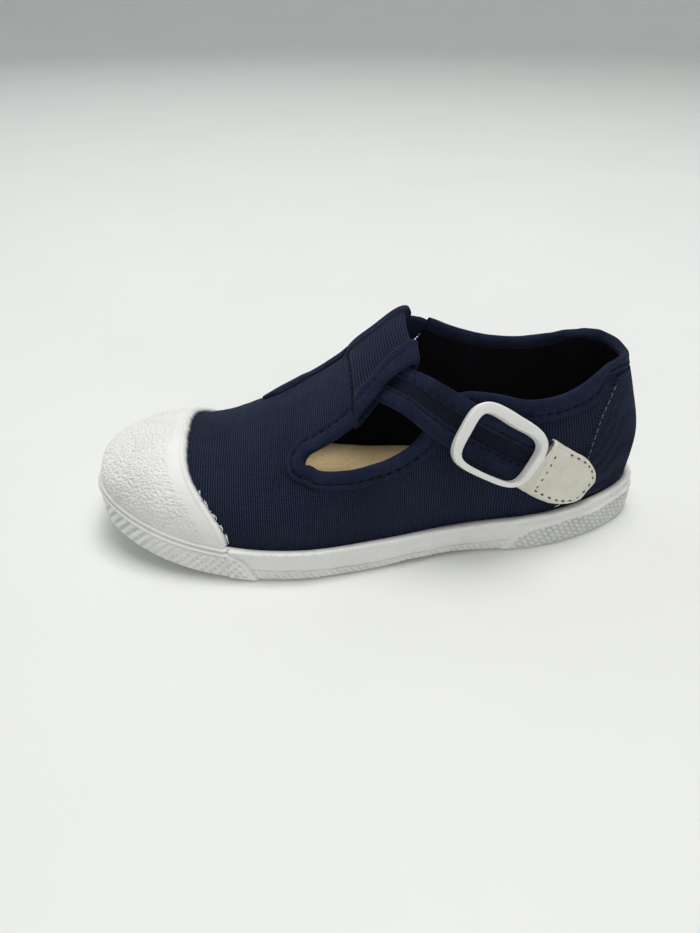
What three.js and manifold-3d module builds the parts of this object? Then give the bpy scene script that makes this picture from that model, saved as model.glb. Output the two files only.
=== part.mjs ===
// A child's canvas T-strap shoe, left foot.
// Millimetres, +Z up. The toe points to -X, the buckle side (lateral) faces -Y, the floor is z = 0.
import * as THREE from 'three'
import { mergeVertices } from 'three/addons/utils/BufferGeometryUtils.js'
import Module from 'manifold-3d'

const wasm = await Module()
wasm.setup()

// Driving sizes
const LENGTH = 172 // sole, toe to heel
const UPPER_INSET = 3.3 // the canvas stands this far inside the sole's edge
const GAP = 0.3 // clearance between neighbouring pieces
const WALL = 2.0 // canvas and lining together
const PLAN_POWER = 3.18 // bluntness of the sole's two ends
const TOE_SPRING = 8.8 // how far the tip of the toe is off the floor
const SPRING_END = 0.3 // where the toe spring begins, as a part of the length
const TIP_SHIFT = 1.5 // the tip lies this far towards the medial side
const TOE_ROUND = 0.175 // length of the toe's rounded front, as a part of the length
const DOME_POWER = 2.3 // fullness of that front
const SLAB = 4.0 // outsole under the foot
const INSOLE = 2.4
const HEEL_TOP = 58 // height at which the lean of the heel's back is full
const HEEL_LEAN_START = 0.65
const FAR = 120 // beyond every piece
const FLOOR = -20 // below every piece

// The sole's half widths, place 0 at the toe and 1 at the heel
const OUTLINE = [
  // place, lateral, medial
  [0.0, 29.3, 28.9],
  [0.12, 34.6, 34.2],
  [0.25, 37.2, 36.4],
  [0.37, 37.8, 32.8],
  [0.5, 34.5, 28.5],
  [0.65, 30.0, 26.5],
  [0.82, 29.6, 25.1],
  [1.0, 23.7, 26.1],
]
const FOXING = [
  // place, height of the sole's side wall
  [0.0, 11.0],
  [0.5, 9.9],
  [1.0, 12.9],
]
const ARCH = { from: 0.48, to: 0.7, rise: 0.9, slope: 0.08 } // the waist's underside is off the floor here
const LAST = [
  // place, ridge above the side wall, ridge shift to medial, roundness of the section
  [0.0, 9.8, 0.0, 2.2],
  [0.1, 16.1, 0.5, 2.15],
  [0.2, 18.8, 1.0, 2.1],
  [0.28, 24.2, 1.5, 2.05],
  [0.36, 32.0, 1.9, 2.08],
  [0.44, 40.5, 2.0, 2.14],
  [0.5, 49.0, 2.0, 2.2],
  [0.56, 56.0, 2.0, 2.26],
  [0.7, 60.0, 1.5, 2.4],
  [1.0, 54.0, 0.0, 2.7],
]
const HEEL_LEAN = [
  // part of the heel's height, shift of its back along X
  [0.0, 0],
  [0.33, 0.9],
  [0.66, -2.9],
  [1.0, -8.0],
]

// Side lines of the canvas: it is kept below them
const LATERAL_EDGE = [
  // x, z
  [-22.0, 41.0],
  [-21.9, 35.4],
  [-20.6, 32.6],
  [-17.0, 31.3],
  [-8.7, 31.8],
  [-3.0, 33.0],
  [2.6, 34.6],
  [8.4, 37.6],
  [12.8, 41.6],
  [15.6, 46.0],
  [18.6, 49.4],
  [23.5, 51.0],
  [31.0, 50.4],
  [42.3, 48.0],
  [52.0, 48.3],
  [61.3, 50.6],
  [68.0, 54.0],
]
const MEDIAL_CUTOUT_EDGE = [
  [-26.8, 42.0],
  [-26.6, 38.0],
  [-25.2, 35.8],
  [-20.5, 33.8],
  [-14.0, 33.2],
  [-8.0, 33.7],
  [-2.0, 35.0],
  [4.0, 37.6],
  [8.8, 41.2],
  [12.0, 46.5],
]
const MEDIAL_COLLAR_EDGE = [
  [19.5, 57.6],
  [25.0, 54.6],
  [32.0, 51.8],
  [39.4, 50.0],
  [49.5, 49.4],
  [60.0, 51.4],
  [68.0, 54.0],
]
const HEEL_EDGE = [
  [72.0, 54.4],
  [76.5, 53.6],
]
const BAR = [
  // x, lateral edge, medial edge: the throat bar seen from above
  [-42, -23.6, 12.6],
  [-30, -22.6, 11.6],
  [-18, -22.0, 10.6],
  [-9, -20.7, 10.0],
  [-3, -18.8, 8.2],
  [3, -16.4, 7.3],
  [10, -15.3, 7.6],
]
const BAR_MIDDLE = -4
const BAR_END = -7 // the bar's own canvas ends here, at the seam of the loop
const BAR_PAST = 23 // the bar is drawn on to here where it cuts the tape

// Toe cap
const CAP_THICK = 1.5
const CAP_BACK = -56.2 // its rear edge on the ridge
const CAP_WING = 11.5 // the edge runs this much further back at the sole

// Tape round the openings, and the panel round the heel
const TAPE_WIDE = 5.0
const TAPE_THICK = 0.6
const CUTOUT_END = 16 // the tape in front of here goes round the cut-out
const LOOP_ROOM = 1 // the tape stops this far outside the loop
const SEAM_CUTS = [
  // blocks beside the strap's seam that the tape leaves free: along it from, past its end, and away from it
  [-2, 4, -6, 0],
  [-2, -TAPE_WIDE, -6, 9],
]
const PANEL_THICK = 0.6
const PANEL_EDGE = [
  // x, z
  [57.5, 0],
  [60.5, 25],
  [63.9, 38],
  [66.2, 42.6],
  [72.5, 52],
]

// Strap, from the tab to its seam on the medial quarter
const STRAP_THICK = 2.0
const STRAP_RECESS = 0.5
const STRAP = [
  // row, back edge x and angle round the foot, front edge x and angle, lift above the canvas
  [0, 48.9, 20.3, 40.3, 9.2, 2.3],
  [1, 44.1, 23.0, 36.0, 11.3, 2.6],
  [2, 37.6, 26.9, 29.8, 15.0, 3.4],
  [3, 28.6, 33.0, 21.4, 21.3, 3.5],
  [4, 21.4, 39.8, 14.2, 28.4, 3.5],
  [5, 15.1, 47.6, 8.0, 37.3, 2.8],
  [6, 10.2, 56.6, 2.5, 49.0, -0.4],
  [7, 8.0, 64.0, -0.9, 58.0, -1.0],
  [8, 7.4, 76.0, -3.2, 71.0, -1.0],
  [9, 7.2, 90.0, -4.0, 90.0, -1.0],
  [10, 8.3, 106.0, -2.4, 111.0, -1.0],
  [11, 10.8, 114.5, -0.2, 119.5, -0.9],
  [12, 15.0, 122.6, 5.5, 133.0, -0.1],
  [13, 18.5, 128.6, 10.9, 141.6, 0.0],
]

// Loop at the end of the throat bar, a ring that lies flat round the strap
const LOOP_BULGE = 1.8 // its back edge runs this much further back at the sides
const LOOP_BACK = 8 // x from which that is so in full
const SLOT_PAST = 0.15 // the slot is cut this far past both sides, as a part of the width
const LOOP_OUTSIDE = [
  // x, lift above the canvas
  [-6.7, -2.4],
  [-6.7, 0.4],
  [-5.9, 1.2],
  [-2.5, 1.2],
  [1.5, 1.2],
  [5.0, 1.2],
  [7.8, 1.2],
  [9.2, 0.5],
  [9.9, -0.9],
  [9.9, -3.1],
  [9.1, -4.4],
  [7.6, -5.0],
  [5.0, -5.0],
  [1.5, -5.0],
  [-2.5, -5.0],
  [-5.2, -4.6],
]
const LOOP_INSIDE = [
  [-4.9, -3.0],
  [-4.9, -0.9],
  [-4.6, -0.5],
  [0.0, -0.5],
  [4.0, -0.5],
  [8.3, -0.5],
  [8.7, -0.9],
  [8.7, -3.1],
  [8.3, -3.5],
  [4.0, -3.5],
  [0.0, -3.5],
  [-4.6, -3.5],
]

// Buckle frame and tab, placed on the lateral wall
const BUCKLE = { x: 31.2, z: 36.2, tilt: -29.5, half: 12.6, high: 9.5, bar: 2.6, power: 3.5, inner: 5.5 }
const BUCKLE_FOOT = 3.75 // its underside above the canvas at the middle
const BUCKLE_RISE = 0.7 // and how much more at the front bar
const BUCKLE_THICK = 2.6
const BUCKLE_ROUND = 0.6 // the frame's edges are taken off by this much
const TAB = { x: 45.0, z: 29.6, tilt: -37, half: 9.0, long: 21.6, thick: 1.4, power: 2.7 }
const TAB_STEP = { rise: 1.0, from: 7, run: 6 } // the tab climbs over the heel panel's edge
const TAB_TIP = 0.985 // its last section stands this near the very end

// The sole's side, from the floor up
const SIDE = [
  // distance inside the edge, part of the wall's height
  [9.0, 0.0],
  [0.9, 0.0],
  [0.0, 0.1],
  [0.0, 0.35],
  [0.5, 0.39],
  [0.1, 0.43],
  [0.1, 0.85],
  [0.9, 0.9],
  [0.9, 1.0],
  [2.7, 1.0],
]
const PLAIN_INSET = 0.6 // the plain side lies this far inside the bumper and the heel guard
const BUMPER_END = [-45.8, -36.8] // x of the toe bumper's end at its top and at the floor
const GUARD_FRONT = [38, 48] // x where the heel guard begins at the floor and at its top
const GUARD_TOP = 0.76 // height of the heel guard, as a part of the wall
const RIB_PITCH = 3.1
const RIB_DEPTH = 0.5
const RIB_REACH = 32 // ribs cover the tip this far to each side
const RIB_BAND = [0.05, 0.8] // between these heights, as parts of the wall
const STEP_RUN = 1.5 // the bumper and the guard come up over this length
const GUARD_SLACK = 0.12 // part of the wall over which the guard's top is drawn in
const SIDE_FLANK = 2 // rows of the side's table further in than this belong to the floor and the slab

// Facets
const STATIONS = 30
const ROUND_STEPS = 16
const LAST_TRIM = 0.03 // turn left out at both tips of the last
const INSOLE_TRIM = 0.06
const CAP_STEPS = 12
const STRAP_STEPS = 30
const LOOP_STEPS = 10
const BUCKLE_STEPS = 40
const TAB_STEPS = 12
const TAB_ACROSS = 6
const BAR_STEPS = 13
const SOLE_SAMPLES = 3000
const SOLE_STEP = { fine: 2.5, wide: 7 } // between stations along the sides
const FINE_STRETCHES = [[-49, -34], [36, 50]] // x where the bumper and the guard begin

// Small helpers
const clamp01 = (v) => Math.min(1, Math.max(0, v))
const radians = (degrees) => (degrees * Math.PI) / 180
const degreesOf = (turn) => (turn * 180) / Math.PI
const lerp = (a, b, t) => a + (b - a) * t
const ease = (t) => clamp01(t) ** 2 * (3 - 2 * clamp01(t))
const range = (count) => Array.from({ length: count }, (_, i) => i)
const spread = (part, trim) => 0.5 - 0.5 * Math.cos(lerp(trim, Math.PI - trim, part)) // close at both ends

// A smooth curve through a table's column, its slope at each row taken from the neighbours
function column(table, index) {
  const at = table.map((row) => row[0])
  const value = table.map((row) => row[index])
  const slope = value.map((_, i) => {
    const a = Math.max(0, i - 1)
    const b = Math.min(value.length - 1, i + 1)
    return (value[b] - value[a]) / (at[b] - at[a])
  })
  return (place) => {
    const p = Math.min(at[at.length - 1], Math.max(at[0], place))
    let i = 0
    while (i < at.length - 2 && p > at[i + 1]) i += 1
    const width = at[i + 1] - at[i]
    const t = (p - at[i]) / width
    const rise = (value[i + 1] - value[i]) * t * t * (3 - 2 * t)
    const enter = t * (1 - t) * (1 - t) * width * slope[i]
    const leave = t * t * (t - 1) * width * slope[i + 1]
    return value[i] + rise + enter + leave
  }
}

const lateralWidth = column(OUTLINE, 1)
const medialWidth = column(OUTLINE, 2)
const foxingHeight = column(FOXING, 1)
const ridgeHeight = column(LAST, 1)
const ridgeShift = column(LAST, 2)
const sectionPower = column(LAST, 3)
const heelLean = column(HEEL_LEAN, 1)
const barLateral = column(BAR, 1)
const barMedial = column(BAR, 2)

// The last: every length below is in millimetres, u is the place from toe 0 to heel 1
const roundEnds = (u) => (1 - Math.abs(1 - 2 * u) ** PLAN_POWER) ** (1 / PLAN_POWER)
const placeOnEdge = (x) => x / LENGTH + 0.5
const toeSpring = (x) => TOE_SPRING * clamp01(1 - placeOnEdge(x) / SPRING_END) ** 2
const featherLine = (x) => toeSpring(x) + foxingHeight(placeOnEdge(x))
const toeShift = (u) => TIP_SHIFT * clamp01(1 - u / 0.4) ** 2
const toeDome = (u) => (1 - clamp01(1 - u / TOE_ROUND) ** DOME_POWER) ** (1 / DOME_POWER)
const sideShift = (u) => ridgeShift(u) * roundEnds(u)
const middle = (u) => toeShift(u) + sideShift(u)
const placeOf = (x) => x / (LENGTH - 2 * UPPER_INSET) + 0.5
const alongAt = (u, inset) => (u - 0.5) * (LENGTH - 2 * inset)
const slabTop = (x) => toeSpring(x) + SLAB
const archHeight = (u) => ARCH.rise * ease((u - ARCH.from) / ARCH.slope) * ease((ARCH.to - u) / ARCH.slope)

function halfWidth(u, side, inset) {
  const table = side < 0 ? lateralWidth(u) : medialWidth(u)
  return Math.max(0, (table - inset) * roundEnds(u))
}

// How much longer a vertical step is than the same step across a sloping instep
function steepness(u) {
  const rise = (ridgeHeight(u + 0.01) - ridgeHeight(u - 0.01)) / 0.02
  return u < TOE_ROUND || u > 0.7 ? 1 : Math.hypot(1, rise / LENGTH)
}

function lean(u, z) {
  const foot = foxingHeight(1)
  const level = Math.max(0, (z - foot) / (HEEL_TOP - foot))
  return heelLean(level) * ease((u - HEEL_LEAN_START) / (1 - HEEL_LEAN_START))
}

// A point of the last, moved outwards by a distance: angle 0 is lateral, 90 the ridge, 180 medial
function skin(u, degrees, out) {
  const side = degrees < 90 ? -1 : 1
  const turn = radians(side < 0 ? degrees : 180 - degrees)
  const power = 2 / sectionPower(u)
  const inset = UPPER_INSET - out
  const wide = Math.max(0, halfWidth(u, side, inset) - side * sideShift(u))
  const high = Math.max(0.05, ridgeHeight(u) * toeDome(u) + out * steepness(u))
  const y = middle(u) + side * wide * Math.max(0, Math.cos(turn)) ** power
  const x = alongAt(u, inset)
  const z = featherLine(x) + high * Math.max(0, Math.sin(turn)) ** power
  return new THREE.Vector3(x + lean(u, z), y, z)
}

// The angle round the last at a height of its side, and at a distance from its middle
function angleAtHeight(u, z, side) {
  const foot = featherLine(alongAt(u, UPPER_INSET))
  const level = clamp01((z - foot) / (ridgeHeight(u) * toeDome(u)))
  const turn = degreesOf(Math.asin(level ** (sectionPower(u) / 2)))
  return side < 0 ? turn : 180 - turn
}

function angleAcross(u, y) {
  const side = y < middle(u) ? -1 : 1
  const wide = halfWidth(u, side, UPPER_INSET) - side * sideShift(u)
  const level = clamp01(Math.abs(y - middle(u)) / wide)
  const turn = degreesOf(Math.acos(level ** (sectionPower(u) / 2)))
  return side < 0 ? turn : 180 - turn
}

// Meshes and solids
function meshGeometry(points, faces) {
  const geometry = new THREE.BufferGeometry()
  const flat = points.flatMap((p) => [p.x, p.y, p.z])
  geometry.setAttribute('position', new THREE.Float32BufferAttribute(flat, 3))
  geometry.setIndex(faces.flat())
  return geometry
}

// Faces between rings of points, each ring as long as the next
function bandFaces(rings, count) {
  const faces = []
  for (let k = 0; k < rings - 1; k += 1) {
    for (let i = 0; i < count; i += 1) {
      const j = (i + 1) % count
      const a = k * count
      const b = a + count
      faces.push([a + i, a + j, b + j], [a + i, b + j, b + i])
    }
  }
  return faces
}

// Faces over a ring whose two halves mirror each other, point i facing point count - 1 - i
function lidFaces(start, count, turned) {
  const faces = []
  for (let i = 0; i < count / 2 - 1; i += 1) {
    const [a, b] = [start + i, start + i + 1]
    const [c, d] = [start + count - 2 - i, start + count - 1 - i]
    faces.push(turned ? [a, b, c] : [a, c, b], turned ? [a, c, d] : [a, d, c])
  }
  return faces
}

function loft(rings) {
  const count = rings[0].length
  const faces = bandFaces(rings.length, count)
  faces.push(...lidFaces(0, count, false), ...lidFaces((rings.length - 1) * count, count, true))
  return meshGeometry(rings.flat(), faces)
}

// A ring of sections that closes on itself
function hoop(rings) {
  const count = rings[0].length
  return meshGeometry([...rings, rings[0]].flat(), bandFaces(rings.length + 1, count))
}

function turnedOver(geometry) {
  const turned = geometry.clone()
  const index = turned.index ? [...turned.index.array] : range(turned.attributes.position.count)
  for (let i = 0; i < index.length; i += 3) {
    [index[i], index[i + 1]] = [index[i + 1], index[i]]
  }
  turned.setIndex(index)
  return turned
}

function toSolid(geometry) {
  const plain = geometry.clone()
  plain.deleteAttribute('normal')
  plain.deleteAttribute('uv')
  const merged = mergeVertices(plain, 1e-4)
  const index = merged.index.array
  const triangles = range(index.length / 3).map((i) => [index[3 * i], index[3 * i + 1], index[3 * i + 2]])
  const whole = triangles.filter(([a, b, c]) => a !== b && b !== c && a !== c)
  const mesh = new wasm.Mesh({
    numProp: 3,
    vertProperties: new Float32Array(merged.attributes.position.array),
    triVerts: new Uint32Array(whole.flat()),
  })
  const solid = new wasm.Manifold(mesh)
  return solid.volume() < 0 ? toSolid(turnedOver(plain)) : solid
}

function toGeometry(solid) {
  const mesh = solid.getMesh()
  const count = mesh.vertProperties.length / mesh.numProp
  const point = (i) => new THREE.Vector3().fromArray(mesh.vertProperties, i * mesh.numProp)
  const points = range(count).map(point)
  return meshGeometry(points, [[...mesh.triVerts]])
}

const shapeOf = (points) => new THREE.Shape(points.map(([a, b]) => new THREE.Vector2(a, b)))

// A prism whose outline is seen from the side, as x and z
function sidePrism(points, fromY, toY) {
  const geometry = new THREE.ExtrudeGeometry(shapeOf(points), { depth: toY - fromY, bevelEnabled: false })
  geometry.rotateX(Math.PI / 2)
  geometry.translate(0, toY, 0)
  return toSolid(geometry)
}

// A prism whose outline is seen from above, as x and y
function planPrism(points, fromZ, toZ) {
  const geometry = new THREE.ExtrudeGeometry(shapeOf(points), { depth: toZ - fromZ, bevelEnabled: false })
  geometry.translate(0, 0, fromZ)
  return toSolid(geometry)
}

function smooth(rows, steps) {
  const through = rows.map(([a, b]) => new THREE.Vector3(a, b, 0))
  const curve = new THREE.CatmullRomCurve3(through, false, 'centripetal')
  return curve.getPoints(steps).map((p) => [p.x, p.y])
}

// A line moved to its left, without the points that a tight bend would bring back too near to it
function moved(line, distance) {
  const places = line.map(([a, b], i) => {
    const before = line[Math.max(0, i - 1)]
    const after = line[Math.min(line.length - 1, i + 1)]
    const along = new THREE.Vector2(after[0] - before[0], after[1] - before[1]).normalize()
    return [a - along.y * distance, b + along.x * distance]
  })
  const clear = ([a, b]) => line.every(([c, d]) => Math.hypot(a - c, b - d) > 0.99 * Math.abs(distance))
  return distance === 0 ? places : places.filter(clear)
}

// The last as a solid, grown by a distance, down to a level
function lastSolid(out, lowest) {
  const rings = range(STATIONS + 1).map((k) => {
    const u = spread(k / STATIONS, LAST_TRIM)
    const ring = range(ROUND_STEPS + 1).map((i) => skin(u, (i * 180) / ROUND_STEPS, out))
    const bottom = lowest(alongAt(u, UPPER_INSET - out))
    ring.forEach((point) => point.setZ(Math.max(point.z, bottom + 1e-3)))
    const left = ring[0].clone().setZ(bottom)
    const right = ring[ROUND_STEPS].clone().setZ(bottom)
    const top = ring[ROUND_STEPS / 2].clone()
    return [left, ...ring.slice(0, ROUND_STEPS / 2), top, ...ring.slice(ROUND_STEPS / 2), right]
  })
  return toSolid(loft(rings))
}

const deep = () => FLOOR
const shell = (outside, inside, lowest) => lastSolid(outside, lowest).subtract(lastSolid(inside, deep))

// What the side lines and the throat bar keep of the canvas, grown by a distance
const lateralLine = [...smooth(LATERAL_EDGE, 26), ...HEEL_EDGE]
const medialLine = [...smooth(MEDIAL_CUTOUT_EDGE, 13), ...smooth(MEDIAL_COLLAR_EDGE, 8), ...HEEL_EDGE]

function belowLine(line, grow, fromY, toY) {
  const edge = moved(line, grow).reverse()
  const heel = edge[0]
  const front = edge[edge.length - 1]
  const corners = [[-FAR, -FAR], [FAR, -FAR], [FAR, heel[1]]]
  return sidePrism([...corners, ...edge, [front[0], FAR], [-FAR, FAR]], fromY, toY)
}

function barOutline(grow, from, to) {
  const xs = range(BAR_STEPS + 1).map((i) => lerp(from, to, i / BAR_STEPS))
  const lateral = xs.map((x) => [x, barLateral(x) - grow])
  const medial = xs.map((x) => [x, barMedial(x) + grow])
  return [...lateral, ...medial.reverse()]
}

function kept(grow, barEnd) {
  const lateral = belowLine(lateralLine, grow, -FAR, BAR_MIDDLE)
  const medial = belowLine(medialLine, grow, BAR_MIDDLE, FAR)
  const bar = planPrism(barOutline(grow, BAR[0][0], barEnd), 0, FAR)
  return lateral.add(medial).add(bar)
}

function makeUpper() {
  const wall = shell(0, -WALL, (x) => slabTop(x) + GAP)
  return toGeometry(wall.intersect(kept(0, BAR_END)))
}

// Tape folded over the edges, as one channel all the way round, before it is cut to lengths
function tapeChannel() {
  const outside = shell(GAP + TAPE_THICK, -WALL - GAP - TAPE_THICK, deep)
  const room = shell(GAP, -WALL - GAP, deep).intersect(kept(1.5 * GAP, BAR_PAST))
  const band = kept(GAP + TAPE_THICK, BAR_PAST).subtract(kept(-TAPE_WIDE, BAR_PAST))
  const overLoop = planPrism(barOutline(GAP + TAPE_THICK + LOOP_ROOM, BAR_END - GAP, BAR_PAST), 0, FAR)
  return outside.intersect(band).subtract(room).subtract(overLoop)
}

// A block beside the strap's seam, measured along the seam and away from it
function besideSeam(fromAlong, toAlong, fromAway, toAway) {
  const foot = new THREE.Vector2(...MEDIAL_CUTOUT_EDGE[MEDIAL_CUTOUT_EDGE.length - 1])
  const head = new THREE.Vector2(...MEDIAL_COLLAR_EDGE[0])
  const length = foot.distanceTo(head)
  const along = head.clone().sub(foot).normalize()
  const away = new THREE.Vector2(along.y, -along.x)
  const corner = (s, n) => foot.clone().addScaledVector(along, s).addScaledVector(away, n).toArray()
  const last = length + toAlong
  const corners = [corner(fromAlong, fromAway), corner(last, fromAway), corner(last, toAway)]
  return sidePrism([...corners, corner(fromAlong, toAway)], BAR_MIDDLE, FAR)
}

function makeBindings() {
  const trimmed = SEAM_CUTS.reduce((tape, cut) => tape.subtract(besideSeam(...cut)), tapeChannel())
  const corners = [[-FAR, BAR_MIDDLE], [CUTOUT_END, BAR_MIDDLE], [CUTOUT_END, FAR], [-FAR, FAR]]
  const cutoutSide = planPrism(corners, 0, FAR)
  return {
    collar: toGeometry(trimmed.subtract(cutoutSide)),
    cutout: toGeometry(trimmed.intersect(cutoutSide)),
  }
}

function makeHeelPanel() {
  const wall = shell(GAP + PANEL_THICK, GAP, (x) => featherLine(x) + GAP)
  const edge = smooth(PANEL_EDGE, 8)
  const behind = sidePrism([...edge, [FAR, FAR], [FAR, -FAR], [PANEL_EDGE[0][0], -FAR]], -FAR, FAR)
  const lateral = belowLine(lateralLine, -TAPE_WIDE - GAP, -FAR, 0)
  const medial = belowLine(medialLine, -TAPE_WIDE - GAP, 0, FAR)
  return toGeometry(wall.intersect(behind).intersect(lateral.add(medial)))
}

function makeToeCap() {
  const wall = shell(GAP + CAP_THICK, GAP, (x) => featherLine(x) + GAP)
  const edge = range(CAP_STEPS + 1).map((i) => {
    const degrees = (i * 90) / CAP_STEPS
    const x = CAP_BACK + CAP_WING * Math.cos(radians(degrees)) ** 4
    const point = skin(placeOf(x), degrees, 0)
    return [x, point.z]
  })
  const inFront = [[-FAR, -FAR], [edge[0][0], -FAR], ...edge, [CAP_BACK, FAR], [-FAR, FAR]]
  return toGeometry(wall.intersect(sidePrism(inFront, -FAR, FAR)))
}

function makeInsole() {
  const inset = UPPER_INSET + WALL + 1.5 * GAP
  const rings = range(STATIONS + 1).map((k) => {
    const u = spread(k / STATIONS, INSOLE_TRIM)
    const x = alongAt(u, inset)
    const low = slabTop(x) + GAP
    const top = low + INSOLE
    const lateral = toeShift(u) - halfWidth(u, -1, inset)
    const medial = toeShift(u) + halfWidth(u, 1, inset)
    const corner = (y, z) => new THREE.Vector3(x, y, z)
    return [corner(lateral, low), corner(lateral, top), corner(medial, top), corner(medial, low)]
  })
  return toGeometry(toSolid(loft(rings)))
}

// Stations round the sole: close together at the ribbed tip, wider along the sides
function soleStations() {
  const samples = range(2 * SOLE_SAMPLES + 1).map((i) => {
    const t = i / SOLE_SAMPLES
    return t <= 1 ? 0.5 * t ** 5 : 1 - 0.5 * (2 - t) ** 5
  })
  const fine = (x) => FINE_STRETCHES.some(([from, to]) => x > from && x < to)
  const stepAt = (x) => (fine(x) ? SOLE_STEP.fine : SOLE_STEP.wide)
  const stations = [{ u: 0, run: 0 }]
  let run = 0
  let next = RIB_PITCH / 2
  for (let i = 1; i < samples.length - 1; i += 1) {
    const [a, b] = [soleEdge(samples[i - 1], -1, 0), soleEdge(samples[i], -1, 0)]
    run += a.distanceTo(b)
    if (run >= next) {
      stations.push({ u: samples[i], run })
      next += run < RIB_REACH ? RIB_PITCH / 2 : stepAt(b.x)
    }
  }
  return stations
}

function soleEdge(u, side, inset) {
  return new THREE.Vector3(alongAt(u, inset), toeShift(u) + side * halfWidth(u, side, inset), 0)
}

// How far the bumper or the heel guard stands out, 0 or 1, at a place of the side
function raised(x, part) {
  const bumper = ease((lerp(BUMPER_END[1], BUMPER_END[0], part) - x) / STEP_RUN + 0.5)
  const front = lerp(GUARD_FRONT[0], GUARD_FRONT[1], part / GUARD_TOP)
  const guard = part > GUARD_TOP + GUARD_SLACK ? 0 : ease((x - front) / STEP_RUN + 0.5)
  return Math.max(bumper, guard)
}

function makeSole() {
  const stations = soleStations()
  const ring = ([inset, part], top) => {
    const point = ({ u, run }, side, index) => {
      const x = (u - 0.5) * LENGTH
      const ribbed = index % 2 === 1 && run < RIB_REACH && part > RIB_BAND[0] && part < RIB_BAND[1]
      const groove = ribbed ? RIB_DEPTH : 0
      const relief = inset < SIDE_FLANK ? groove + PLAIN_INSET * (1 - raised(x, part)) : 0
      const spot = soleEdge(u, side, inset + relief)
      const base = lerp(toeSpring(spot.x) + archHeight(u), featherLine(spot.x), part)
      return spot.setZ(top === undefined ? base : slabTop(spot.x))
    }
    const lateral = stations.map((station, i) => point(station, -1, i))
    const medial = stations.map((station, i) => point(station, 1, i)).reverse()
    return [...lateral, soleHeel(inset, part, top), soleHeel(inset, part, top), ...medial]
  }
  const rings = [...SIDE.map((row) => ring(row)), ring(SIDE[SIDE.length - 1], 'slab')]
  return toGeometry(toSolid(loft(rings)))
}

function soleHeel(inset, part, top) {
  const plain = inset < SIDE_FLANK ? PLAIN_INSET * (1 - raised(LENGTH / 2, part)) : 0
  const spot = soleEdge(1, 1, inset + plain)
  return spot.setZ(top === undefined ? part * featherLine(spot.x) : slabTop(spot.x))
}

// The loop: a ring of canvas round a flat slot, both worked out at steps across the bar
function barRing(profile, from, to, steps) {
  const rings = range(steps + 1).map((k) => {
    const across = lerp(from, to, k / steps)
    const bulge = LOOP_BULGE * (2 * across - 1) ** 2
    return profile.map(([x, lift]) => {
      const back = x + bulge * clamp01((x - BAR_END) / (LOOP_BACK - BAR_END))
      const u = placeOf(back)
      const y = lerp(barLateral(back), barMedial(back), across)
      return skin(u, angleAcross(u, y), lift)
    })
  })
  return toSolid(loft(rings))
}

function makeLoop() {
  const outside = barRing(LOOP_OUTSIDE, 0, 1, LOOP_STEPS)
  const slot = barRing(LOOP_INSIDE, -SLOT_PAST, 1 + SLOT_PAST, LOOP_STEPS)
  return toGeometry(outside.subtract(slot))
}

function makeStrap() {
  const [backX, backAngle, frontX, frontAngle, lifted] = [1, 2, 3, 4, 5].map((i) => column(STRAP, i))
  const across = [0, 0.33, 0.37, 0.63, 0.67, 1]
  const sunk = (v) => v > 0.35 && v < 0.65
  const rings = range(STRAP_STEPS + 1).map((k) => {
    const row = (k * (STRAP.length - 1)) / STRAP_STEPS
    const spot = (v, drop) => {
      const x = lerp(backX(row), frontX(row), v)
      const angle = lerp(backAngle(row), frontAngle(row), v)
      return skin(placeOf(x), angle, lifted(row) - drop)
    }
    const face = across.map((v) => spot(v, sunk(v) ? STRAP_RECESS : 0))
    const back = [0, 0.35, 0.65, 1].map((v) => spot(v, STRAP_THICK)).reverse()
    return [...face, ...back]
  })
  return toGeometry(toSolid(loft(rings)))
}

// A point over the lateral wall, from a place beside a piece's centre
function onWall(piece, along, up, lift) {
  const [c, s] = [Math.cos(radians(piece.tilt)), Math.sin(radians(piece.tilt))]
  const x = piece.x + along * c - up * s
  const z = piece.z + along * s + up * c
  const u = placeOf(x)
  return skin(u, angleAtHeight(u, z, -1), lift)
}

// A rounded rectangle's radius in a direction
function roundedBox(half, high, power, turn) {
  const across = Math.abs(Math.cos(turn) / half) ** power
  const upwards = Math.abs(Math.sin(turn) / high) ** power
  return (across + upwards) ** (-1 / power)
}

function makeBuckle() {
  const edge = BUCKLE_ROUND
  const rings = range(BUCKLE_STEPS).map((k) => {
    const turn = (k * 2 * Math.PI) / BUCKLE_STEPS
    const outer = roundedBox(BUCKLE.half, BUCKLE.high, BUCKLE.power, turn)
    const inner = roundedBox(BUCKLE.half - BUCKLE.bar, BUCKLE.high - BUCKLE.bar, BUCKLE.inner, turn)
    const spot = (reach, lift) => {
      const along = reach * Math.cos(turn)
      const foot = BUCKLE_FOOT - (BUCKLE_RISE * along) / BUCKLE.half
      return onWall(BUCKLE, along, reach * Math.sin(turn), foot + lift)
    }
    const high = BUCKLE_THICK
    const outside = [spot(outer, 0), spot(outer, high - edge), spot(outer - edge, high)]
    return [...outside, spot(inner + edge, high), spot(inner, high - edge), spot(inner, 0)]
  })
  return toGeometry(toSolid(hoop(rings)))
}

function makeTab() {
  const rings = range(TAB_STEPS + 1).map((k) => {
    const along = TAB.long * Math.sin((k / TAB_STEPS) * (Math.PI / 2) * TAB_TIP)
    const half = TAB.half * (1 - (along / TAB.long) ** TAB.power) ** (1 / TAB.power)
    const foot = GAP + TAB_STEP.rise * ease((along - TAB_STEP.from) / TAB_STEP.run)
    const across = range(TAB_ACROSS + 1).map((i) => lerp(-half, half, i / TAB_ACROSS))
    const low = across.map((up) => onWall(TAB, along, up, foot))
    const top = across.map((up) => onWall(TAB, along, up, foot + TAB.thick)).reverse()
    return [...low, ...top]
  })
  return toGeometry(toSolid(loft(rings)))
}

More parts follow.
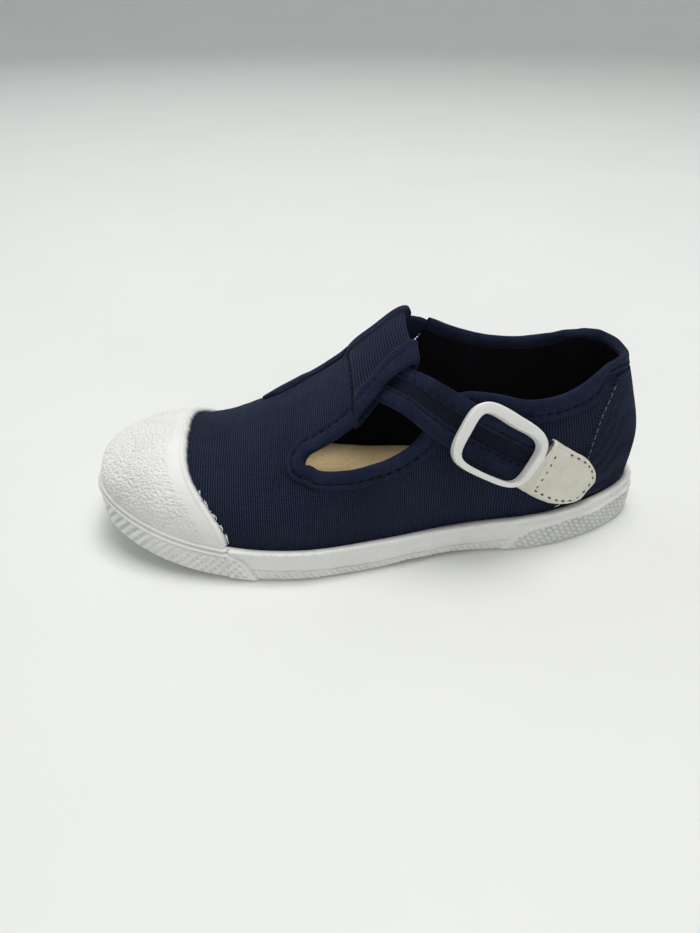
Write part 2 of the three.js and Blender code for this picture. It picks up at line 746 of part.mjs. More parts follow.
// Assembly
const RUBBER = { color: 0xe6e6e1, roughness: 0.55, metalness: 0 }
const CANVAS = { color: 0x1d2740, roughness: 0.95, metalness: 0 }
const TAPE = { color: 0x19223a, roughness: 0.9, metalness: 0 }
const BOARD = { color: 0xbf9e68, roughness: 0.85, metalness: 0 }
const PLASTIC = { color: 0xeceae4, roughness: 0.35, metalness: 0 }
const LEATHER = { color: 0xdedbcd, roughness: 0.6, metalness: 0 }

const shoe = new THREE.Group()

function add(name, geometry, finish) {
  const mesh = new THREE.Mesh(geometry, new THREE.MeshStandardMaterial(finish))
  mesh.name = name
  shoe.add(mesh)
}

const bindings = makeBindings()
add('sole', makeSole(), RUBBER)
add('upper', makeUpper(), CANVAS)
add('insole', makeInsole(), BOARD)
add('toe_cap', makeToeCap(), RUBBER)
add('heel_panel', makeHeelPanel(), CANVAS)
add('collar_binding', bindings.collar, TAPE)
add('cutout_binding', bindings.cutout, TAPE)
add('bar_loop', makeLoop(), CANVAS)
add('strap', makeStrap(), TAPE)
add('buckle', makeBuckle(), PLASTIC)
add('buckle_tab', makeTab(), LEATHER)

// The origin is under the middle of the whole shoe
const bounds = new THREE.Box3().setFromObject(shoe)
const centre = bounds.getCenter(new THREE.Vector3())
shoe.position.set(-centre.x, -centre.y, -bounds.min.z)

export default shoe
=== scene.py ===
import math

import bmesh
import bpy
import numpy as np
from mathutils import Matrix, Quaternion, Vector


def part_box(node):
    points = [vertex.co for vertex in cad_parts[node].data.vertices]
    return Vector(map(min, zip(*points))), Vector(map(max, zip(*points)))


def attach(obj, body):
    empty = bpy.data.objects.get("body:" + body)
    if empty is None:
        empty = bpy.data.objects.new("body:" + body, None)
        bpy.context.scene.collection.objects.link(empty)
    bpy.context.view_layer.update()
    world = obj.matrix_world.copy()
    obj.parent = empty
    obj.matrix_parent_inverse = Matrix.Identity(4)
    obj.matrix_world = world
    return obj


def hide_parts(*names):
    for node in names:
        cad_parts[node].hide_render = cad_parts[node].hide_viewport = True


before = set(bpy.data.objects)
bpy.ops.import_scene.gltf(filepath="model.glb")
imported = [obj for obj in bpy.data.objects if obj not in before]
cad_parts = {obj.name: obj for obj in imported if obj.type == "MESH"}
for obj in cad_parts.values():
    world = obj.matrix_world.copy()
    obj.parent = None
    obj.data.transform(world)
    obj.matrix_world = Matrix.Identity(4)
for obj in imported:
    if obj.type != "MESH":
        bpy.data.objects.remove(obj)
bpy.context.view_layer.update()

# A child's canvas T-strap shoe, left foot. The sizes are in millimetres, as in the part's source,
# and every piece is turned into metres when its mesh is made.
MM = 0.001

# Driving sizes
LENGTH = 172.0
UPPER_INSET = 3.3
CANVAS_THICK = 1.5
PLAN_POWER = 3.18
TOE_SPRING = 8.8
SPRING_END = 0.3
TIP_SHIFT = 1.5
TOE_ROUND = 0.175
DOME_POWER = 2.3
SLAB = 4.0
INSOLE_RAISE = 0.8
HEEL_TOP = 58.0
HEEL_LEAN_START = 0.65
PLAIN_INSET = 0.6
BUMPER_BACK = -40.0

OUTLINE = [
    # place, lateral, medial
    (0.0, 29.3, 28.9),
    (0.12, 34.6, 34.2),
    (0.25, 37.2, 36.4),
    (0.37, 37.8, 32.8),
    (0.5, 34.5, 28.5),
    (0.65, 30.0, 26.5),
    (0.82, 29.6, 25.1),
    (1.0, 23.7, 26.1),
]
FOXING = [
    # place, height of the sole's side wall
    (0.0, 11.0),
    (0.5, 9.9),
    (1.0, 12.9),
]
LAST = [
    # place, ridge above the side wall, ridge shift to medial, roundness of the section
    (0.0, 9.8, 0.0, 2.2),
    (0.1, 16.1, 0.5, 2.15),
    (0.2, 18.8, 1.0, 2.1),
    (0.28, 24.2, 1.5, 2.05),
    (0.36, 32.0, 1.9, 2.08),
    (0.44, 40.5, 2.0, 2.14),
    (0.5, 49.0, 2.0, 2.2),
    (0.56, 56.0, 2.0, 2.26),
    (0.7, 60.0, 1.5, 2.4),
    (1.0, 54.0, 0.0, 2.7),
]
HEEL_LEAN = [
    # part of the heel's height, shift of its back along X
    (0.0, 0.0),
    (0.33, 0.9),
    (0.66, -2.9),
    (1.0, -8.0),
]
LATERAL_EDGE = [
    # x, z: the side line from the bar's corner to the heel
    (-20.6, 32.6),
    (-17.0, 31.3),
    (-8.7, 31.8),
    (-3.0, 33.0),
    (2.6, 34.6),
    (8.4, 37.6),
    (12.8, 41.6),
    (15.6, 46.0),
    (18.6, 49.4),
    (23.5, 51.0),
    (31.0, 50.4),
    (42.3, 48.0),
    (52.0, 48.3),
    (61.3, 50.6),
    (68.0, 54.0),
    (72.0, 54.4),
    (76.5, 53.6),
]
MEDIAL_CUTOUT_EDGE = [
    # x, z
    (-25.2, 35.8),
    (-20.5, 33.8),
    (-14.0, 33.2),
    (-8.0, 33.7),
    (-2.0, 35.0),
    (4.0, 37.6),
    (8.8, 41.2),
    (12.0, 46.5),
]
MEDIAL_COLLAR_EDGE = [
    # x, z
    (19.5, 57.6),
    (25.0, 54.6),
    (32.0, 51.8),
    (39.4, 50.0),
    (49.5, 49.4),
    (60.0, 51.4),
    (68.0, 54.0),
    (72.0, 54.4),
    (76.5, 53.6),
]
BAR = [
    # x, lateral edge, medial edge
    (-42, -23.6, 12.6),
    (-30, -22.6, 11.6),
    (-18, -22.0, 10.6),
    (-9, -20.7, 10.0),
    (-3, -18.8, 8.2),
    (3, -16.4, 7.3),
    (10, -15.3, 7.6),
]
BAR_END = -7.0
BAR_MIDDLE = -4.0
CUTOUT_FRONT = {"lateral": -22.0, "medial": -26.8}

STRAP = [
    # row, back edge x and angle, front edge x and angle, lift above the canvas
    (0, 48.9, 20.3, 40.3, 9.2, 2.3),
    (1, 44.1, 23.0, 36.0, 11.3, 2.6),
    (2, 37.6, 26.9, 29.8, 15.0, 3.4),
    (3, 28.6, 33.0, 21.4, 21.3, 3.5),
    (4, 21.4, 39.8, 14.2, 28.4, 3.5),
    (5, 15.1, 47.6, 8.0, 37.3, 2.8),
    (6, 10.2, 56.6, 2.5, 49.0, -0.4),
    (7, 8.0, 64.0, -0.9, 58.0, -1.0),
    (8, 7.4, 76.0, -3.2, 71.0, -1.0),
    (9, 7.2, 90.0, -4.0, 90.0, -1.0),
    (10, 8.3, 106.0, -2.4, 111.0, -1.0),
    (11, 10.8, 114.5, -0.2, 119.5, -0.9),
    (12, 15.0, 122.6, 5.5, 133.0, -0.1),
    (13, 18.5, 128.6, 10.9, 141.6, 0.0),
]
LOOP_BULGE = 1.8
LOOP_MIDDLE = [
    # x, lift: the middle of the loop's folded canvas
    (-6.6, -1.2),
    (-6.3, -0.1),
    (-5.0, 0.35),
    (-1.0, 0.35),
    (3.0, 0.35),
    (7.0, 0.35),
    (8.7, 0.0),
    (9.3, -1.0),
    (9.3, -3.0),
    (8.7, -3.9),
    (7.0, -4.25),
    (3.0, -4.25),
    (-1.0, -4.25),
    (-5.0, -4.2),
    (-6.3, -3.6),
    (-6.6, -2.4),
]
BUCKLE = {"x": 31.2, "z": 36.2, "tilt": -29.5, "half": 12.6, "high": 9.5, "power": 3.5, "inner": 5.0}
BARS = {"front": 2.9, "rear": 2.1, "top": 2.8, "bottom": 1.8, "sag": 0.3}
BUCKLE_FOOT = 3.75
BUCKLE_RISE = 0.7
BUCKLE_THICK = 2.6
BUCKLE_WOBBLE = 0.07
# How square the bars are across, the smaller the squarer
BAR_POWERS = {"wide": 0.34, "tall": 0.4}
TAB = {"x": 45.0, "z": 29.6, "tilt": -37.0, "half": 9.0, "long": 21.6, "thick": 1.4, "power": 2.7}
TAB_STEP = {"rise": 1.0, "from": 7.0, "run": 6.0}
CAP_BACK = -56.2
CAP_WING = 11.5
PANEL_EDGE = [
    # x, z
    (57.5, 0.0),
    (60.5, 25.0),
    (63.9, 38.0),
    (66.2, 42.6),
    (72.5, 52.0),
]

# Stitches and weave
STITCH = 2.7
STITCH_LONG = 1.9
STITCH_FLAT = 0.7
SEAM = {"pitch": 2.2, "long": 1.7}
RIB_WEAVE = 0.74


def clamp01(v):
    return np.clip(v, 0.0, 1.0)


def ease(v):
    t = clamp01(v)
    return t * t * (3 - 2 * t)


def mix(a, b, t):
    return a + (b - a) * t


def hump(x, at, width, power=2):
    """A bell of height 1 round a value."""
    return np.exp(-(((x - at) / width) ** power))


def swing(run, pitch):
    """A wave from 0 to 1, at its top wherever the run is a whole number of pitches."""
    return 0.5 + 0.5 * np.cos(2 * np.pi * run / pitch)


def joined(*parts):
    """Coordinates made of numbers or grids, spread to one shape."""
    return np.stack(np.broadcast_arrays(*parts), axis=-1)


def straight(table, x):
    """Straight lines through a table's first two columns."""
    return np.interp(x, [row[0] for row in table], [row[1] for row in table])


def column(table, index):
    """A smooth curve through a table's column, its slope at each row taken from the neighbours."""
    at = np.array([row[0] for row in table], float)
    value = np.array([row[index] for row in table], float)
    before = np.maximum(np.arange(len(at)) - 1, 0)
    after = np.minimum(np.arange(len(at)) + 1, len(at) - 1)
    slope = (value[after] - value[before]) / (at[after] - at[before])

    def curve(place):
        p = np.clip(np.asarray(place, float), at[0], at[-1])
        i = np.clip(np.searchsorted(at, p, side="right") - 1, 0, len(at) - 2)
        width = at[i + 1] - at[i]
        t = (p - at[i]) / width
        rise = (value[i + 1] - value[i]) * t * t * (3 - 2 * t)
        enter = t * (1 - t) ** 2 * width * slope[i]
        leave = t * t * (t - 1) * width * slope[i + 1]
        return value[i] + rise + enter + leave

    return curve


lateral_width = column(OUTLINE, 1)
medial_width = column(OUTLINE, 2)
foxing_height = column(FOXING, 1)
ridge_height = column(LAST, 1)
ridge_shift = column(LAST, 2)
section_power = column(LAST, 3)
heel_lean = column(HEEL_LEAN, 1)
bar_lateral = column(BAR, 1)
bar_medial = column(BAR, 2)


def round_ends(u):
    return np.maximum(0.0, 1 - np.abs(1 - 2 * u) ** PLAN_POWER) ** (1 / PLAN_POWER)


def toe_spring(x):
    return TOE_SPRING * clamp01(1 - (x / LENGTH + 0.5) / SPRING_END) ** 2


def feather_line(x):
    return toe_spring(x) + foxing_height(x / LENGTH + 0.5)


def toe_shift(u):
    return TIP_SHIFT * clamp01(1 - u / 0.4) ** 2


def toe_dome(u):
    return np.maximum(0.0, 1 - clamp01(1 - u / TOE_ROUND) ** DOME_POWER) ** (1 / DOME_POWER)


def side_shift(u):
    return ridge_shift(u) * round_ends(u)


def middle(u):
    return toe_shift(u) + side_shift(u)


def place_of(x):
    return x / (LENGTH - 2 * UPPER_INSET) + 0.5


def along_at(u, inset=UPPER_INSET):
    return (u - 0.5) * (LENGTH - 2 * inset)


def half_width(u, side, inset):
    table = np.where(side < 0, lateral_width(u), medial_width(u))
    return np.maximum(0.0, (table - inset) * round_ends(u))


def section_width(u, side, inset=UPPER_INSET):
    """The last's width on one side of its ridge."""
    return half_width(u, side, inset) - side * side_shift(u)


def steepness(u):
    rise = (ridge_height(u + 0.01) - ridge_height(u - 0.01)) / 0.02
    return np.where((u < TOE_ROUND) | (u > 0.7), 1.0, np.hypot(1.0, rise / LENGTH))


def lean(u, z):
    foot = float(foxing_height(1.0))
    level = np.maximum(0.0, (z - foot) / (HEEL_TOP - foot))
    return heel_lean(level) * ease((u - HEEL_LEAN_START) / (1 - HEEL_LEAN_START))


def skin(u, degrees, out):
    """Points of the last moved outwards: angle 0 is lateral, 90 the ridge, 180 medial."""
    u, degrees, out = np.broadcast_arrays(np.asarray(u, float), degrees, out)
    side = np.where(degrees < 90, -1.0, 1.0)
    turn = np.radians(np.where(side < 0, degrees, 180 - degrees))
    power = 2 / section_power(u)
    inset = UPPER_INSET - out
    wide = np.maximum(0.0, section_width(u, side, inset))
    high = np.maximum(0.05, ridge_height(u) * toe_dome(u) + out * steepness(u))
    y = middle(u) + side * wide * np.maximum(0.0, np.cos(turn)) ** power
    x = along_at(u, inset)
    z = feather_line(x) + high * np.maximum(0.0, np.sin(turn)) ** power
    return np.stack([x + lean(u, z), y, z], axis=-1)


# Near the heel a place is found from the half width there, since the back runs square to the length
HEEL_PLACES = 1 - 0.3 * np.linspace(0.0, 1.0, 600) ** 3
HEEL_WIDTHS = {side: section_width(HEEL_PLACES, side) for side in (-1, 1)}
HEEL_SHARE = (0.90, 0.05)
TIP = 1e-4


def place_by_width(y, z):
    u = np.full(np.shape(y), 0.97)
    for _ in range(6):
        power = section_power(u)
        level = clamp01((z - feather_line(along_at(u))) / ridge_height(u))
        wide = np.abs(y - middle(u)) / np.maximum(0.05, 1 - level ** power) ** (1 / power)
        lateral, medial = (np.interp(wide, HEEL_WIDTHS[side], HEEL_PLACES) for side in (-1, 1))
        u = np.where(y < middle(u), lateral, medial)
    return u


def place_at(x, z, rounds):
    """The place on the last of a point at x and z, the heel's lean taken off."""
    u = place_of(x)
    for _ in range(rounds):
        u = np.clip(place_of(x - lean(u, z)), TIP, 1 - TIP)
    return u


def level_at(u, z):
    """Height above the side wall, as a share of the ridge's."""
    return (z - feather_line(along_at(u))) / (ridge_height(u) * toe_dome(u))


def locate(points):
    """Place and angle on the last of points that lie near it."""
    x, y, z = points[..., 0], points[..., 1], points[..., 2]
    u = place_at(x, z, 4)
    at_heel = ease((u - HEEL_SHARE[0]) / HEEL_SHARE[1])
    u = mix(u, place_by_width(y, z), at_heel)
    side = np.where(y < middle(u), -1.0, 1.0)
    power = section_power(u) / 2
    across = (np.abs(y - middle(u)) / np.maximum(0.1, section_width(u, side))) ** power
    up = np.maximum(0.0, level_at(u, z)) ** power
    turn = np.degrees(np.arctan2(up, across))
    by_height = np.degrees(np.arcsin(clamp01(up)))
    turn = mix(turn, by_height, at_heel)
    return u, np.where(side < 0, turn, 180 - turn)


# Places from tip to tip, closer together near the tips
FINE = np.linspace(0, 1, 20001)
FINE = np.where(FINE < 0.5, 0.5 * (2 * FINE) ** 3, 1 - 0.5 * (2 - 2 * FINE) ** 3)


def even_places(count):
    """Places from tip to tip, in equal steps of the outline seen from above."""
    run = run_of(joined(along_at(FINE), half_width(FINE, 1, UPPER_INSET)))
    return np.interp(np.linspace(0, run[-1], count), run, FINE)


def angle_at_height(u, z, side):
    turn = np.degrees(np.arcsin(clamp01(level_at(u, z)) ** (section_power(u) / 2)))
    return np.where(side < 0, turn, 180 - turn)


def angle_across(u, y):
    side = np.where(y < middle(u), -1.0, 1.0)
    level = clamp01(np.abs(y - middle(u)) / section_width(u, side))
    turn = np.degrees(np.arccos(level ** (section_power(u) / 2)))
    return np.where(side < 0, turn, 180 - turn)


def side_point(x, z, side, out=0.0):
    """The point of the last's side that is seen at x and z."""
    x, z = np.asarray(x, float), np.asarray(z, float)
    u = place_at(x, z, 6)
    return skin(u, angle_at_height(u, z, side), out)


def top_point(x, y, out=0.0):
    """The point of the last that is seen from above at x and y."""
    u = place_of(np.asarray(x, float))
    return skin(u, angle_across(u, np.asarray(y, float)), out)


# Lines through points
def spline(points, steps):
    """A centripetal curve through points, in equal steps of its length."""
    p = np.asarray(points, float)
    p = np.vstack([2 * p[0] - p[1], p, 2 * p[-1] - p[-2]])
    fine = []
    for a, b, c, d in zip(p, p[1:], p[2:], p[3:]):
        t0 = 0.0
        t1 = t0 + np.linalg.norm(b - a) ** 0.5
        t2 = t1 + np.linalg.norm(c - b) ** 0.5
        t3 = t2 + np.linalg.norm(d - c) ** 0.5
        t = np.linspace(t1, t2, 24, endpoint=False)[:, None]
        ab = (t1 - t) / (t1 - t0) * a + (t - t0) / (t1 - t0) * b
        bc = (t2 - t) / (t2 - t1) * b + (t - t1) / (t2 - t1) * c
        cd = (t3 - t) / (t3 - t2) * c + (t - t2) / (t3 - t2) * d
        abc = (t2 - t) / (t2 - t0) * ab + (t - t0) / (t2 - t0) * bc
        bcd = (t3 - t) / (t3 - t1) * bc + (t - t1) / (t3 - t1) * cd
        fine.append((t2 - t) / (t2 - t1) * abc + (t - t1) / (t2 - t1) * bcd)
    fine.append(p[-2][None])
    return even(np.vstack(fine), steps)


def run_of(points):
    """Length along a line at each of its points."""
    steps = np.linalg.norm(np.diff(points, axis=0), axis=1)
    return np.concatenate([[0.0], np.cumsum(steps)])


def even(points, steps):
    run = run_of(points)
    at = np.linspace(0, run[-1], steps + 1)
    return np.stack([np.interp(at, run, points[:, k]) for k in range(points.shape[1])], axis=1)


def unit(v):
    return v / np.maximum(1e-9, np.linalg.norm(v, axis=-1, keepdims=True))


# Random things, the same in every run
def jitter(keys, salt):
    """Numbers between 0 and 1 that depend on whole-number keys alone."""
    h = np.full(keys.shape[:-1], salt, np.uint64)
    for k in range(keys.shape[-1]):
        h = (h ^ keys[..., k].astype(np.int64).astype(np.uint64)) * np.uint64(0x9E3779B97F4A7C15)
        h ^= h >> np.uint64(29)
    return (h >> np.uint64(40)).astype(float) / float(1 << 24)


def pebbles(points, size, salt=7):
    """Distance to the nearest and to the second nearest of scattered seeds, in sizes."""
    cell = np.floor(points / size)
    first = np.full(points.shape[:-1], 9.0)
    second = np.full(points.shape[:-1], 9.0)
    for dx in (-1, 0, 1):
        for dy in (-1, 0, 1):
            for dz in (-1, 0, 1):
                near = cell + np.array([dx, dy, dz])
                spot = np.stack([near[..., k] + jitter(near, salt + k) for k in range(3)], axis=-1)
                away = np.linalg.norm(points / size - spot, axis=-1)
                second = np.minimum(second, np.maximum(first, away))
                first = np.minimum(first, away)
    return first, second


def soft_noise(points, size, salt=3):
    """Smooth noise between -1 and 1."""
    p = np.asarray(points, float) / size
    cell = np.floor(p)
    t = p - cell
    t = t * t * (3 - 2 * t)
    total = np.zeros(p.shape[:-1])
    for corner in np.ndindex(*(2,) * p.shape[-1]):
        offset = np.array(corner, float)
        weight = np.prod(np.where(offset > 0, t, 1 - t), axis=-1)
        total += weight * jitter(cell + offset, salt)
    return total * 2 - 1


# Meshes
def quad_grid(rows, columns, round_rows=False, round_columns=False):
    """The corner numbers of the quads between rows and columns of points."""
    index = np.arange(rows * columns).reshape(rows, columns)
    if round_rows:
        index = np.vstack([index, index[:1]])
    if round_columns:
        index = np.hstack([index, index[:, :1]])
    return np.stack([index[:-1, :-1], index[1:, :-1], index[1:, 1:], index[:-1, 1:]], axis=-1)


class Build:
    """Points and faces in millimetres that become one mesh in metres."""

    def __init__(self):
        self.points, self.faces, self.weave, self.slots = [], [], [], []
        self.count = 0

    def add(self, points, faces, weave=None, slot=0):
        points = np.asarray(points, float).reshape(-1, 3)
        weave = np.zeros((len(points), 3)) if weave is None else weave.reshape(len(points), -1)
        weave = np.hstack([weave, np.zeros((len(points), 3 - weave.shape[1]))])
        self.points.append(points)
        self.weave.append(weave)
        self.faces.append(np.asarray(faces) + self.count)
        self.slots.append(np.full(len(faces), slot))
        self.count += len(points)

    def grid(self, points, weave=None, slot=0, round_rows=False, round_columns=False, flip=False):
        """Quads over rows and columns of points."""
        quads = quad_grid(*points.shape[:2], round_rows, round_columns).reshape(-1, 4)
        self.add(points, quads[:, [0, 3, 2, 1]] if flip else quads, weave, slot)

    def sweep(self, points, weave, second, round_rows=False):
        """A closed section along a line; second says which of its columns have the second finish."""
        quads = quad_grid(*points.shape[:2], round_rows, True)
        second = np.broadcast_to(second, quads.shape[:2])
        self.add(points, quads[~second], weave, 0)
        self.add(points, quads[second], weave, 1)

    def object(self, name, *finishes, smooth=True):
        points = np.vstack(self.points) + SHIFT
        faces = np.vstack(self.faces)
        mesh = bpy.data.meshes.new(name)
        mesh.from_pydata((points * MM).tolist(), [], faces.tolist())
        # The weave's third value carries painted shade: how far into a recess a point lies.
        layer = mesh.attributes.new("weave", "FLOAT_VECTOR", "POINT")
        layer.data.foreach_set("vector", np.vstack(self.weave).ravel())
        mesh.polygons.foreach_set("material_index", np.concatenate(self.slots))
        for finish in finishes:
            mesh.materials.append(finish)
        tidy(mesh)
        mesh.polygons.foreach_set("use_smooth", np.full(len(mesh.polygons), smooth))
        piece = bpy.data.objects.new(name, mesh)
        bpy.context.scene.collection.objects.link(piece)
        return piece


def tidy(mesh):
    """Joins points that lie together, drops faces with no area and turns all faces outwards."""
    work = bmesh.new()
    work.from_mesh(mesh)
    bmesh.ops.remove_doubles(work, verts=work.verts, dist=2e-6)
    bmesh.ops.dissolve_degenerate(work, edges=work.edges, dist=1e-7)
    bmesh.ops.recalc_face_normals(work, faces=work.faces)
    work.to_mesh(mesh)
    work.free()


def place(piece, slot, *nodes):
    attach(piece, "root")
    if nodes:
        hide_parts(*nodes)


def arc_weave(points):
    """Lengths along both directions of a grid, measured from its middle column."""
    n, m = points.shape[:2]
    rows = np.zeros((n, m))
    rows[1:] = np.cumsum(np.linalg.norm(np.diff(points, axis=0), axis=-1), axis=0)
    columns = np.zeros((n, m))
    columns[:, 1:] = np.cumsum(np.linalg.norm(np.diff(points, axis=1), axis=-1), axis=1)
    return joined(rows[:, m // 2][:, None], columns - columns[:, m // 2][:, None])


# The part's frame is centred on its box, so the model's own numbers are moved sideways
SOLE_BOX = [np.array(corner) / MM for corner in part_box("sole")]


def sole_middle():
    """The middle of the sole's width, as its own numbers have it."""
    u = np.linspace(0, 1, 2001)
    inset = PLAIN_INSET * (along_at(u, 0) > BUMPER_BACK)
    lateral, medial = (toe_shift(u) + side * half_width(u, side, inset) for side in (-1, 1))
    return (lateral.min() + medial.max()) / 2


SHIFT = np.array([0.0, (SOLE_BOX[0][1] + SOLE_BOX[1][1]) / 2 - sole_middle(), 0.0])


# Camera, fitted to the photo
CAMERA_AZIMUTH, CAMERA_ELEVATION, CAMERA_ROLL = -4.17, 34.48, -0.47
CAMERA_AWAY = 240.7
CAMERA_LOOKS_AT = (-6.71, 0.0, 14.48)
FOCAL_PIXELS, PICTURE_HIGH, SENSOR = 737.5, 933, 36.0


def make_camera():
    azimuth, elevation = math.radians(CAMERA_AZIMUTH), math.radians(CAMERA_ELEVATION)
    level = math.cos(elevation)
    back = Vector((math.sin(azimuth) * level, -math.cos(azimuth) * level, math.sin(elevation)))
    data = bpy.data.cameras.new("camera")
    data.sensor_fit = "VERTICAL"
    data.sensor_height = SENSOR
    data.lens = FOCAL_PIXELS / PICTURE_HIGH * SENSOR
    data.clip_start, data.clip_end = 0.01, 20
    camera = bpy.data.objects.new("camera", data)
    bpy.context.scene.collection.objects.link(camera)
    target = (Vector(CAMERA_LOOKS_AT) + Vector(SHIFT)) * MM
    camera.location = target + back * CAMERA_AWAY * MM
    turn = back.to_track_quat("Z", "Y")
    camera.rotation_mode = "QUATERNION"
    turn.rotate(Quaternion(back, math.radians(CAMERA_ROLL)))
    camera.rotation_quaternion = turn
    bpy.context.scene.camera = camera


FLOOR = {"flat": 1.5, "bend": 0.6, "high": 1.9, "sides": 96, "steps": 12}
WORLD = {"color": (0.93, 0.96, 1.0, 1), "strength": 0.30}
LAMPS = [
    # name, place, size, watts, colour
    ("key", (0.12, 0.15, 1.25), 0.65, 11.4, (1.0, 0.99, 0.97)),
    ("back", (-0.5, 0.9, 0.9), 0.9, 1.8, (0.96, 0.98, 1.0)),
    ("front", (-0.15, -1.2, 0.75), 1.1, 3.6, (1.0, 1.0, 0.99)),
]
LAMPS_AIM = Vector((0, 0, 0.02))


def make_stage():
    """A pale floor that rises into a pale wall all round."""
    flat, bend, sides = FLOOR["flat"], FLOOR["bend"], FLOOR["sides"]
    profile = [(0.0, 0.0), (flat / 3, 0.0), (flat, 0.0)]
    for turn in np.linspace(0, math.pi / 2, FLOOR["steps"] + 1)[1:]:
        profile.append((flat + bend * math.sin(turn), bend - bend * math.cos(turn)))
    profile.append((flat + bend, FLOOR["high"]))
    turns = np.linspace(0, 2 * np.pi, sides, endpoint=False)
    points = [(away * math.cos(a), away * math.sin(a), z) for away, z in profile for a in turns]
    faces = quad_grid(len(profile), sides, False, True)[..., [0, 3, 2, 1]].reshape(-1, 4)
    mesh = bpy.data.meshes.new("floor")
    mesh.from_pydata(points, [], faces.tolist())
    tidy(mesh)
    mesh.polygons.foreach_set("use_smooth", [True] * len(mesh.polygons))
    mesh.materials.append(floor_finish())
    floor = bpy.data.objects.new("floor", mesh)
    bpy.context.scene.collection.objects.link(floor)


def make_light():
    """Soft studio light from above, behind and in front."""
    world = bpy.data.worlds.new("studio")
    world.use_nodes = True
    background = world.node_tree.nodes["Background"].inputs
    background["Color"].default_value = WORLD["color"]
    background["Strength"].default_value = WORLD["strength"]
    bpy.context.scene.world = world
    for name, spot, size, watts, colour in LAMPS:
        light = bpy.data.lights.new(name, "AREA")
        light.shape = "SQUARE"
        light.size = size
        light.energy = watts
        light.color = colour
        lamp = bpy.data.objects.new(name, light)
        lamp.location = spot
        lamp.rotation_euler = (LAMPS_AIM - Vector(spot)).to_track_quat("-Z", "Y").to_euler()
        bpy.context.scene.collection.objects.link(lamp)
    settings = bpy.context.scene.view_settings
    settings.view_transform = "Standard"
    settings.look = "None"


# Finishes
class Finish:
    """A material and short ways to add nodes to it."""

    def __init__(self, name, color, roughness, **shader):
        self.material = bpy.data.materials.new(name)
        self.material.use_nodes = True
        self.tree = self.material.node_tree
        self.shader = self.tree.nodes["Principled BSDF"]
        self.shader.inputs["Base Color"].default_value = (*color, 1)
        self.shader.inputs["Roughness"].default_value = roughness
        for socket, value in shader.items():
            self.shader.inputs[socket.replace("_", " ")].default_value = value

    def node(self, kind, values=(), **settings):
        node = self.tree.nodes.new(kind)
        for key, value in settings.items():
            setattr(node, key, value)
        for key, value in dict(values).items():
            if isinstance(value, bpy.types.NodeSocket):
                self.tree.links.new(value, node.inputs[key])
            else:
                node.inputs[key].default_value = value
        return node

    def math(self, operation, a, b=0.0, c=0.0):
        return self.node("ShaderNodeMath", {0: a, 1: b, 2: c}, operation=operation).outputs[0]

    def place(self):
        """Place in the shoe, in millimetres."""
        values = {0: self.node("ShaderNodeTexCoord").outputs["Object"], 1: (1 / MM,) * 3}
        return self.node("ShaderNodeVectorMath", values, operation="MULTIPLY").outputs[0]

    def weave(self):
        """Lengths along and across a piece, in millimetres."""
        return self.stored()[:2]

    def hollow_shade(self):
        """Painted shade: how deep in the relief's recesses a point lies, 0 to 1, used to darken the colour
        there.
        """
        return self.stored()[2]

    def stored(self):
        attribute = self.node("ShaderNodeAttribute", attribute_name="weave")
        return self.node("ShaderNodeSeparateXYZ", {0: attribute.outputs["Vector"]}).outputs

    def noise(self, size, detail=2.0):
        """Noise between 0 and 1 whose lumps are about so many millimetres."""
        values = {"Vector": self.place(), "Scale": 1.0 / size, "Detail": detail}
        return self.node("ShaderNodeTexNoise", values).outputs[0]

    def cells(self, size):
        """Distance to the nearest of scattered grains."""
        node = self.node("ShaderNodeTexVoronoi", {"Vector": self.place(), "Scale": 1.0 / size})
        return node.outputs["Distance"]

    def wave(self, along, pitch):
        turn = self.math("SINE", self.math("MULTIPLY", along, 2 * math.pi / pitch))
        return self.math("MULTIPLY_ADD", turn, 0.5, 0.5)

    def blend(self, *parts):
        """The sum of sockets, each times its share."""
        sockets = [self.math("MULTIPLY", socket, share) for socket, share in parts]
        total = sockets[0]
        for socket in sockets[1:]:
            total = self.math("ADD", total, socket)
        return total

    def colors(self, factor, *stops):
        """Colours the material by a factor, from stops of place and colour."""
        node = self.node("ShaderNodeValToRGB", {0: factor})
        ramp = node.color_ramp
        while len(ramp.elements) < len(stops):
            ramp.elements.new(0.5)
        for element, (at, color) in zip(ramp.elements, stops):
            element.position = at
            element.color = (*color, 1)
        self.tree.links.new(node.outputs[0], self.shader.inputs["Base Color"])

    def rough(self, factor, low, high):
        span = self.node("ShaderNodeMapRange", {0: factor, 3: low, 4: high})
        self.tree.links.new(span.outputs[0], self.shader.inputs["Roughness"])

    def bump(self, height, depth, strength=1.0):
        """Relief whose depth is in millimetres."""
        node = self.node("ShaderNodeBump", {"Height": height, "Distance": depth * MM, "Strength": strength})
        previous = self.shader.inputs["Normal"]
        if previous.is_linked:
            self.tree.links.new(previous.links[0].from_socket, node.inputs["Normal"])
        self.tree.links.new(node.outputs[0], previous)


def floor_finish():
    finish = Finish("floor", (0.80, 0.81, 0.79), 0.55, Specular_IOR_Level=0.3)
    finish.colors(finish.noise(90.0, 3.0), (0.3, (0.79, 0.80, 0.785)), (0.7, (0.81, 0.82, 0.80)))
    return finish.material


CLOTH = {"Sheen_Weight": 0.08, "Specular_IOR_Level": 0.15}
YARN = 0.62


